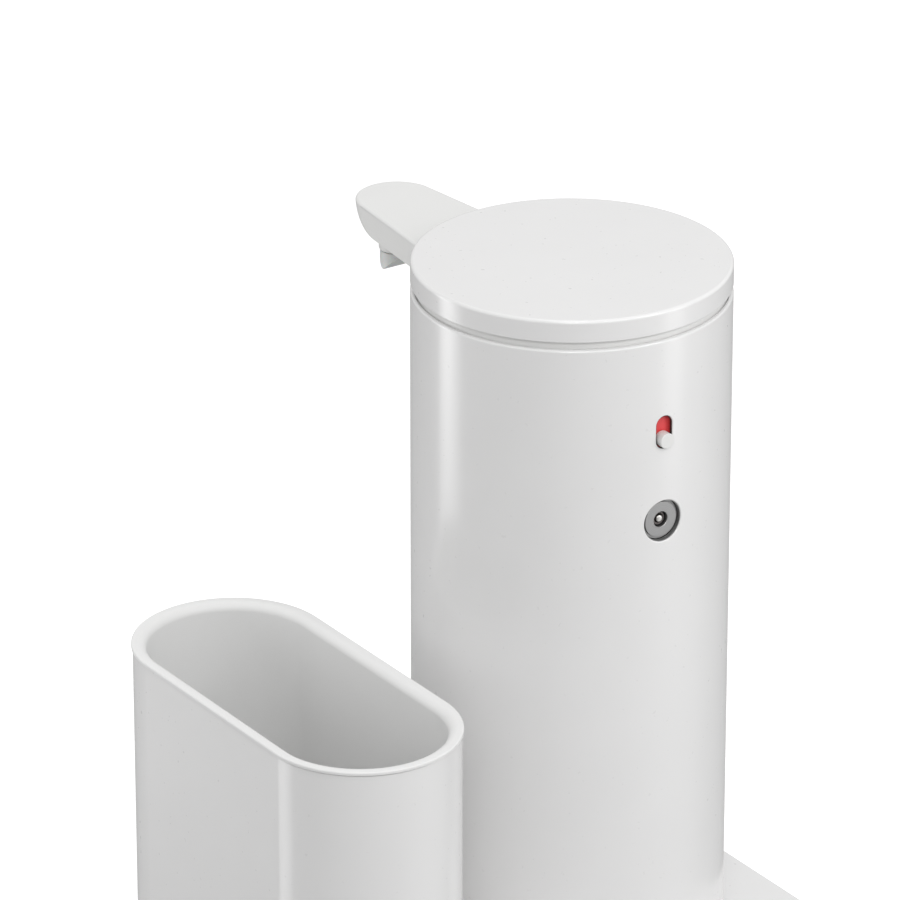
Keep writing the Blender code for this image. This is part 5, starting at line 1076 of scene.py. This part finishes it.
BOARD_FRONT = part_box("main_board")[0].y + 1.9 * MM
CELL_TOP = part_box("battery_cell")[1].z
CELL_CAP = 0.8 * MM
CELL_BAND = 9.0 * MM
TRACK_PITCH = 9.0 * MM
TRACK_RELIEF = 0.01 * MM


def printed_board(place):
    """Green board with pale tracks; what stands in front of the main board is a black chip."""
    depth = place.node("ShaderNodeSeparateXYZ", {}, {"Vector": place}, "Y")
    upright = place.node("ShaderNodeMapping", {}, {"Vector": place,
                                                   "Rotation": (math.pi / 2, 0.0, 0.0)})
    tracks = place.node("ShaderNodeTexBrick", {"offset": 0.5},
                        {"Vector": upright, "Scale": 1 / TRACK_PITCH, "Mortar Size": 0.035,
                         "Mortar Smooth": 0.1}, "Fac")
    is_chip = depth.maths("LESS_THAN", BOARD_FRONT) * depth.maths("GREATER_THAN", -TUBE_RADIUS)
    green = tint(tracks, (0.015, 0.11, 0.05), (0.05, 0.20, 0.10))
    return {"Base Color": tint(is_chip, green, (0.02, 0.02, 0.022)),
            "Roughness": is_chip * 0.2 + 0.3,
            "Normal": relief(tracks, TRACK_RELIEF)}


def wrapped_cell(place):
    """Blue sleeve with a pale band at the top of the cell, under its bare steel cap."""
    height = place.node("ShaderNodeSeparateXYZ", {}, {"Vector": place}, "Z")
    scuff = grain(place, 2.0 * MM)
    is_cap = height.maths("GREATER_THAN", CELL_TOP - CELL_CAP)
    band = height.maths("GREATER_THAN", CELL_TOP - CELL_BAND)
    sleeve = tint(scuff, (0.035, 0.15, 0.38), (0.05, 0.20, 0.46))
    return {"Base Color": tint(is_cap, tint(band, sleeve, (0.72, 0.72, 0.70)), (0.60, 0.60, 0.61)),
            "Metallic": is_cap * 1.0,
            "Roughness": scuff * 0.12 + 0.28}


natural_plastic = finish("natural_moulding", {"Subsurface Weight": 0.1,
                                              "Subsurface Scale": 0.5 * MM},
                         grainy(deep=(0.66, 0.65, 0.60), light=(0.73, 0.72, 0.67),
                                size=0.4 * MM, rough=(0.38, 0.50), depth=MOULD_RELIEF,
                                cloud=6.0 * MM))
clear_plastic = finish("clear_tank_plastic", {"Transmission Weight": 0.55, "IOR": 1.49},
                       grainy(deep=(0.70, 0.76, 0.78), light=(0.78, 0.83, 0.84),
                              size=9.0 * MM, rough=(0.12, 0.22), depth=0.02 * MM))
gear_brass = finish("turned_brass", {"Metallic": 1.0},
                    grainy(deep=(0.62, 0.43, 0.18), light=(0.74, 0.54, 0.26),
                           size=0.3 * MM, rough=(0.22, 0.34)))
circuit_board = finish("printed_board", {}, printed_board)
cell_wrap = finish("cell_wrap", {}, wrapped_cell)

inner_finishes = {
    natural_plastic: ["chassis", "tray_core", "gear_deck", "pump_rotor"],
    white_plastic: ["idler_gear", "output_gear", "pump_housing",
                    "roller_1", "roller_2", "roller_3"],
    clear_plastic: ["soap_tank", "pump_cover"],
    milky_silicone: ["pump_tube", "intake_tube", "delivery_tube"],
    black_plastic: ["battery_holder", "switch_body", "battery_lead", "motor_lead"],
    tinted_plastic: ["ir_emitter", "ir_receiver"],
    plain_steel: ["motor_can", "motor_shaft", "idler_axle", "rotor_shaft", "charge_magnet"],
    gear_brass: ["motor_pinion"],
    circuit_board: ["main_board", "sensor_board"],
    cell_wrap: ["battery_cell"],
}
for material, nodes in inner_finishes.items():
    for node in nodes:
        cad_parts[node].material_slots[0].material = material


# Studio
# A plain white floor under soft light: two upright softboxes stand on it, three more hang
# high on the camera's side and one overhead. Glossy pieces see the floor brighter to both
# sides: it glows there in gloss only, painting reflection bands that no lamp casts.

FLOOR_SIZE = 12.0
FLOOR_CLOUD = 0.4
FLOOR_LIFT = 0.35
GLOSS_SHARE = 0.14
GLOSS_PEAK = 4.0
# The floor's two painted reflection bands: bearing from the camera's, half width and peak in
# gloss.
LEFT_PAINTED_REFLECTION = (-98.0, 13.0, 2.4)
RIGHT_PAINTED_REFLECTION = (80.0, 36.0, 0.28)
SKY_GLOW = 0.68
AIM_HEIGHT = 0.12
UPRIGHT_BELOW = 0.3
SIDE_STAND = {"distance": 0.32, "middle": 0.18, "tall": 0.36}
HIGH_STAND = {"distance": 1.15, "middle": 0.95, "tall": 0.60}
CEILING = {"distance": 0.001, "middle": 1.20, "tall": 0.60}
CAMERA_PLACE = (0.9602, 1.3703, 0.8926)
CAMERA_TILT = math.radians(90.0 - 24.073)
CAMERA_TURN = math.radians(146.049)
CAMERA_LENS = 283.05
SENSOR_WIDTH = 36.0
CAMERA_BEARING = math.radians(56.05)


def painted_reflection_band(place, bearing, half_width, peak):
    """Painted reflection: extra floor brightness that only gloss sees, for rays that run out at a
    bearing from the camera's.
    """
    back = place.node("ShaderNodeNewGeometry", {}, {}, "Incoming")
    east = back.node("ShaderNodeSeparateXYZ", {}, {"Vector": back}, "X")
    north = back.node("ShaderNodeSeparateXYZ", {}, {"Vector": back}, "Y")
    turn = north.maths("ARCTAN2", east) - (CAMERA_BEARING + math.radians(bearing + 180.0))
    edge = math.cos(math.radians(half_width))
    rise = (turn.maths("COSINE") - edge) * (peak / (1 - edge))
    return rise.maths("MAXIMUM", 0.0)


def ray(signal, kind):
    """1 for rays of a kind and 0 for others."""
    return signal.node("ShaderNodeLightPath", {}, {}, kind)


def seen_directly(signal):
    return ray(signal, "Is Camera Ray") + ray(signal, "Is Transmission Ray")


def white_floor(place):
    """Fully white for the camera and through glass, less in gloss apart from two painted
    reflection bands, grey for other light.
    """
    cloud = grain(place, FLOOR_CLOUD)
    # painted reflection: in glossy rays the floor glows brighter at two bearings, painting
    # highlight bands on the pieces
    gloss = painted_reflection_band(place, *LEFT_PAINTED_REFLECTION) + painted_reflection_band(place, *RIGHT_PAINTED_REFLECTION) + GLOSS_SHARE
    seen = seen_directly(place) + ray(place, "Is Glossy Ray") * gloss
    return {"Base Color": tint(seen, (0.36, 0.36, 0.36), (0.95, 0.95, 0.95)),
            "Roughness": cloud * 0.1 + 0.85,
            "Emission Color": tint(seen * (1 / GLOSS_PEAK), (0.0, 0.0, 0.0), (GLOSS_PEAK,) * 3)}


floor_white = finish("studio_floor", {"Emission Strength": FLOOR_LIFT}, white_floor)
floor = begin(bpy.ops.mesh.primitive_plane_add, size=FLOOR_SIZE)
bpy.ops.object.mode_set(mode="OBJECT")
floor.name = "studio_floor"
floor.data.materials.append(floor_white)

world = bpy.data.worlds.new("studio_sky")
world.use_nodes = True
bpy.context.scene.world = world
background = world.node_tree.nodes["Background"]
sky = Signal(world.node_tree, background.outputs["Background"])
sky_light = tint(seen_directly(sky), (SKY_GLOW,) * 3, (1.0, 1.0, 1.0))
world.node_tree.links.new(sky_light.socket, background.inputs["Color"])


def soft_lamp(name, bearing, width, watts, distance, middle, tall):
    """Softbox at a bearing from the camera's, facing the dispenser and dimmer to its edges."""
    lamp = bpy.data.lights.new(name, "AREA")
    lamp.shape = "RECTANGLE"
    lamp.size = width
    lamp.size_y = tall
    lamp.energy = watts
    lamp.use_nodes = True
    tree = lamp.node_tree
    spot = Signal(tree, tree.nodes.new("ShaderNodeNewGeometry").outputs["Parametric"])
    across = spot.node("ShaderNodeSeparateXYZ", {}, {"Vector": spot}, "X")
    up = spot.node("ShaderNodeSeparateXYZ", {}, {"Vector": spot}, "Y")
    swell = across * (1 - across) * 4
    rise = up * (1 - up) * 4
    tree.links.new((swell * swell * rise).socket, tree.nodes["Emission"].inputs["Strength"])
    stand = bpy.data.objects.new(name, lamp)
    bpy.context.scene.collection.objects.link(stand)
    angle = CAMERA_BEARING + math.radians(bearing)
    stand.location = (distance * math.cos(angle), distance * math.sin(angle), middle)
    aim = Vector((0.0, 0.0, middle if middle < UPRIGHT_BELOW else AIM_HEIGHT)) - stand.location
    stand.rotation_euler = aim.to_track_quat("-Z", "Y").to_euler()


soft_lamp("left_lamp", bearing=-94.0, width=0.14, watts=0.46, **SIDE_STAND)
soft_lamp("right_lamp", bearing=72.0, width=0.16, watts=0.39, **SIDE_STAND)
soft_lamp("high_lamp_1", bearing=0.0, width=0.60, watts=9.3, **HIGH_STAND)
soft_lamp("high_lamp_2", bearing=30.0, width=0.60, watts=4.7, **HIGH_STAND)
soft_lamp("high_lamp_3", bearing=60.0, width=0.60, watts=8.1, **HIGH_STAND)
soft_lamp("top_lamp", bearing=0.0, width=0.60, watts=3.9, **CEILING)

camera = bpy.data.cameras.new("camera")
camera.lens = CAMERA_LENS
camera.sensor_width = SENSOR_WIDTH
tripod = bpy.data.objects.new("camera", camera)
bpy.context.scene.collection.objects.link(tripod)
tripod.location = CAMERA_PLACE
tripod.rotation_euler = (CAMERA_TILT, 0.0, CAMERA_TURN)
bpy.context.scene.camera = tripod
bpy.context.scene.view_settings.view_transform = "Standard"
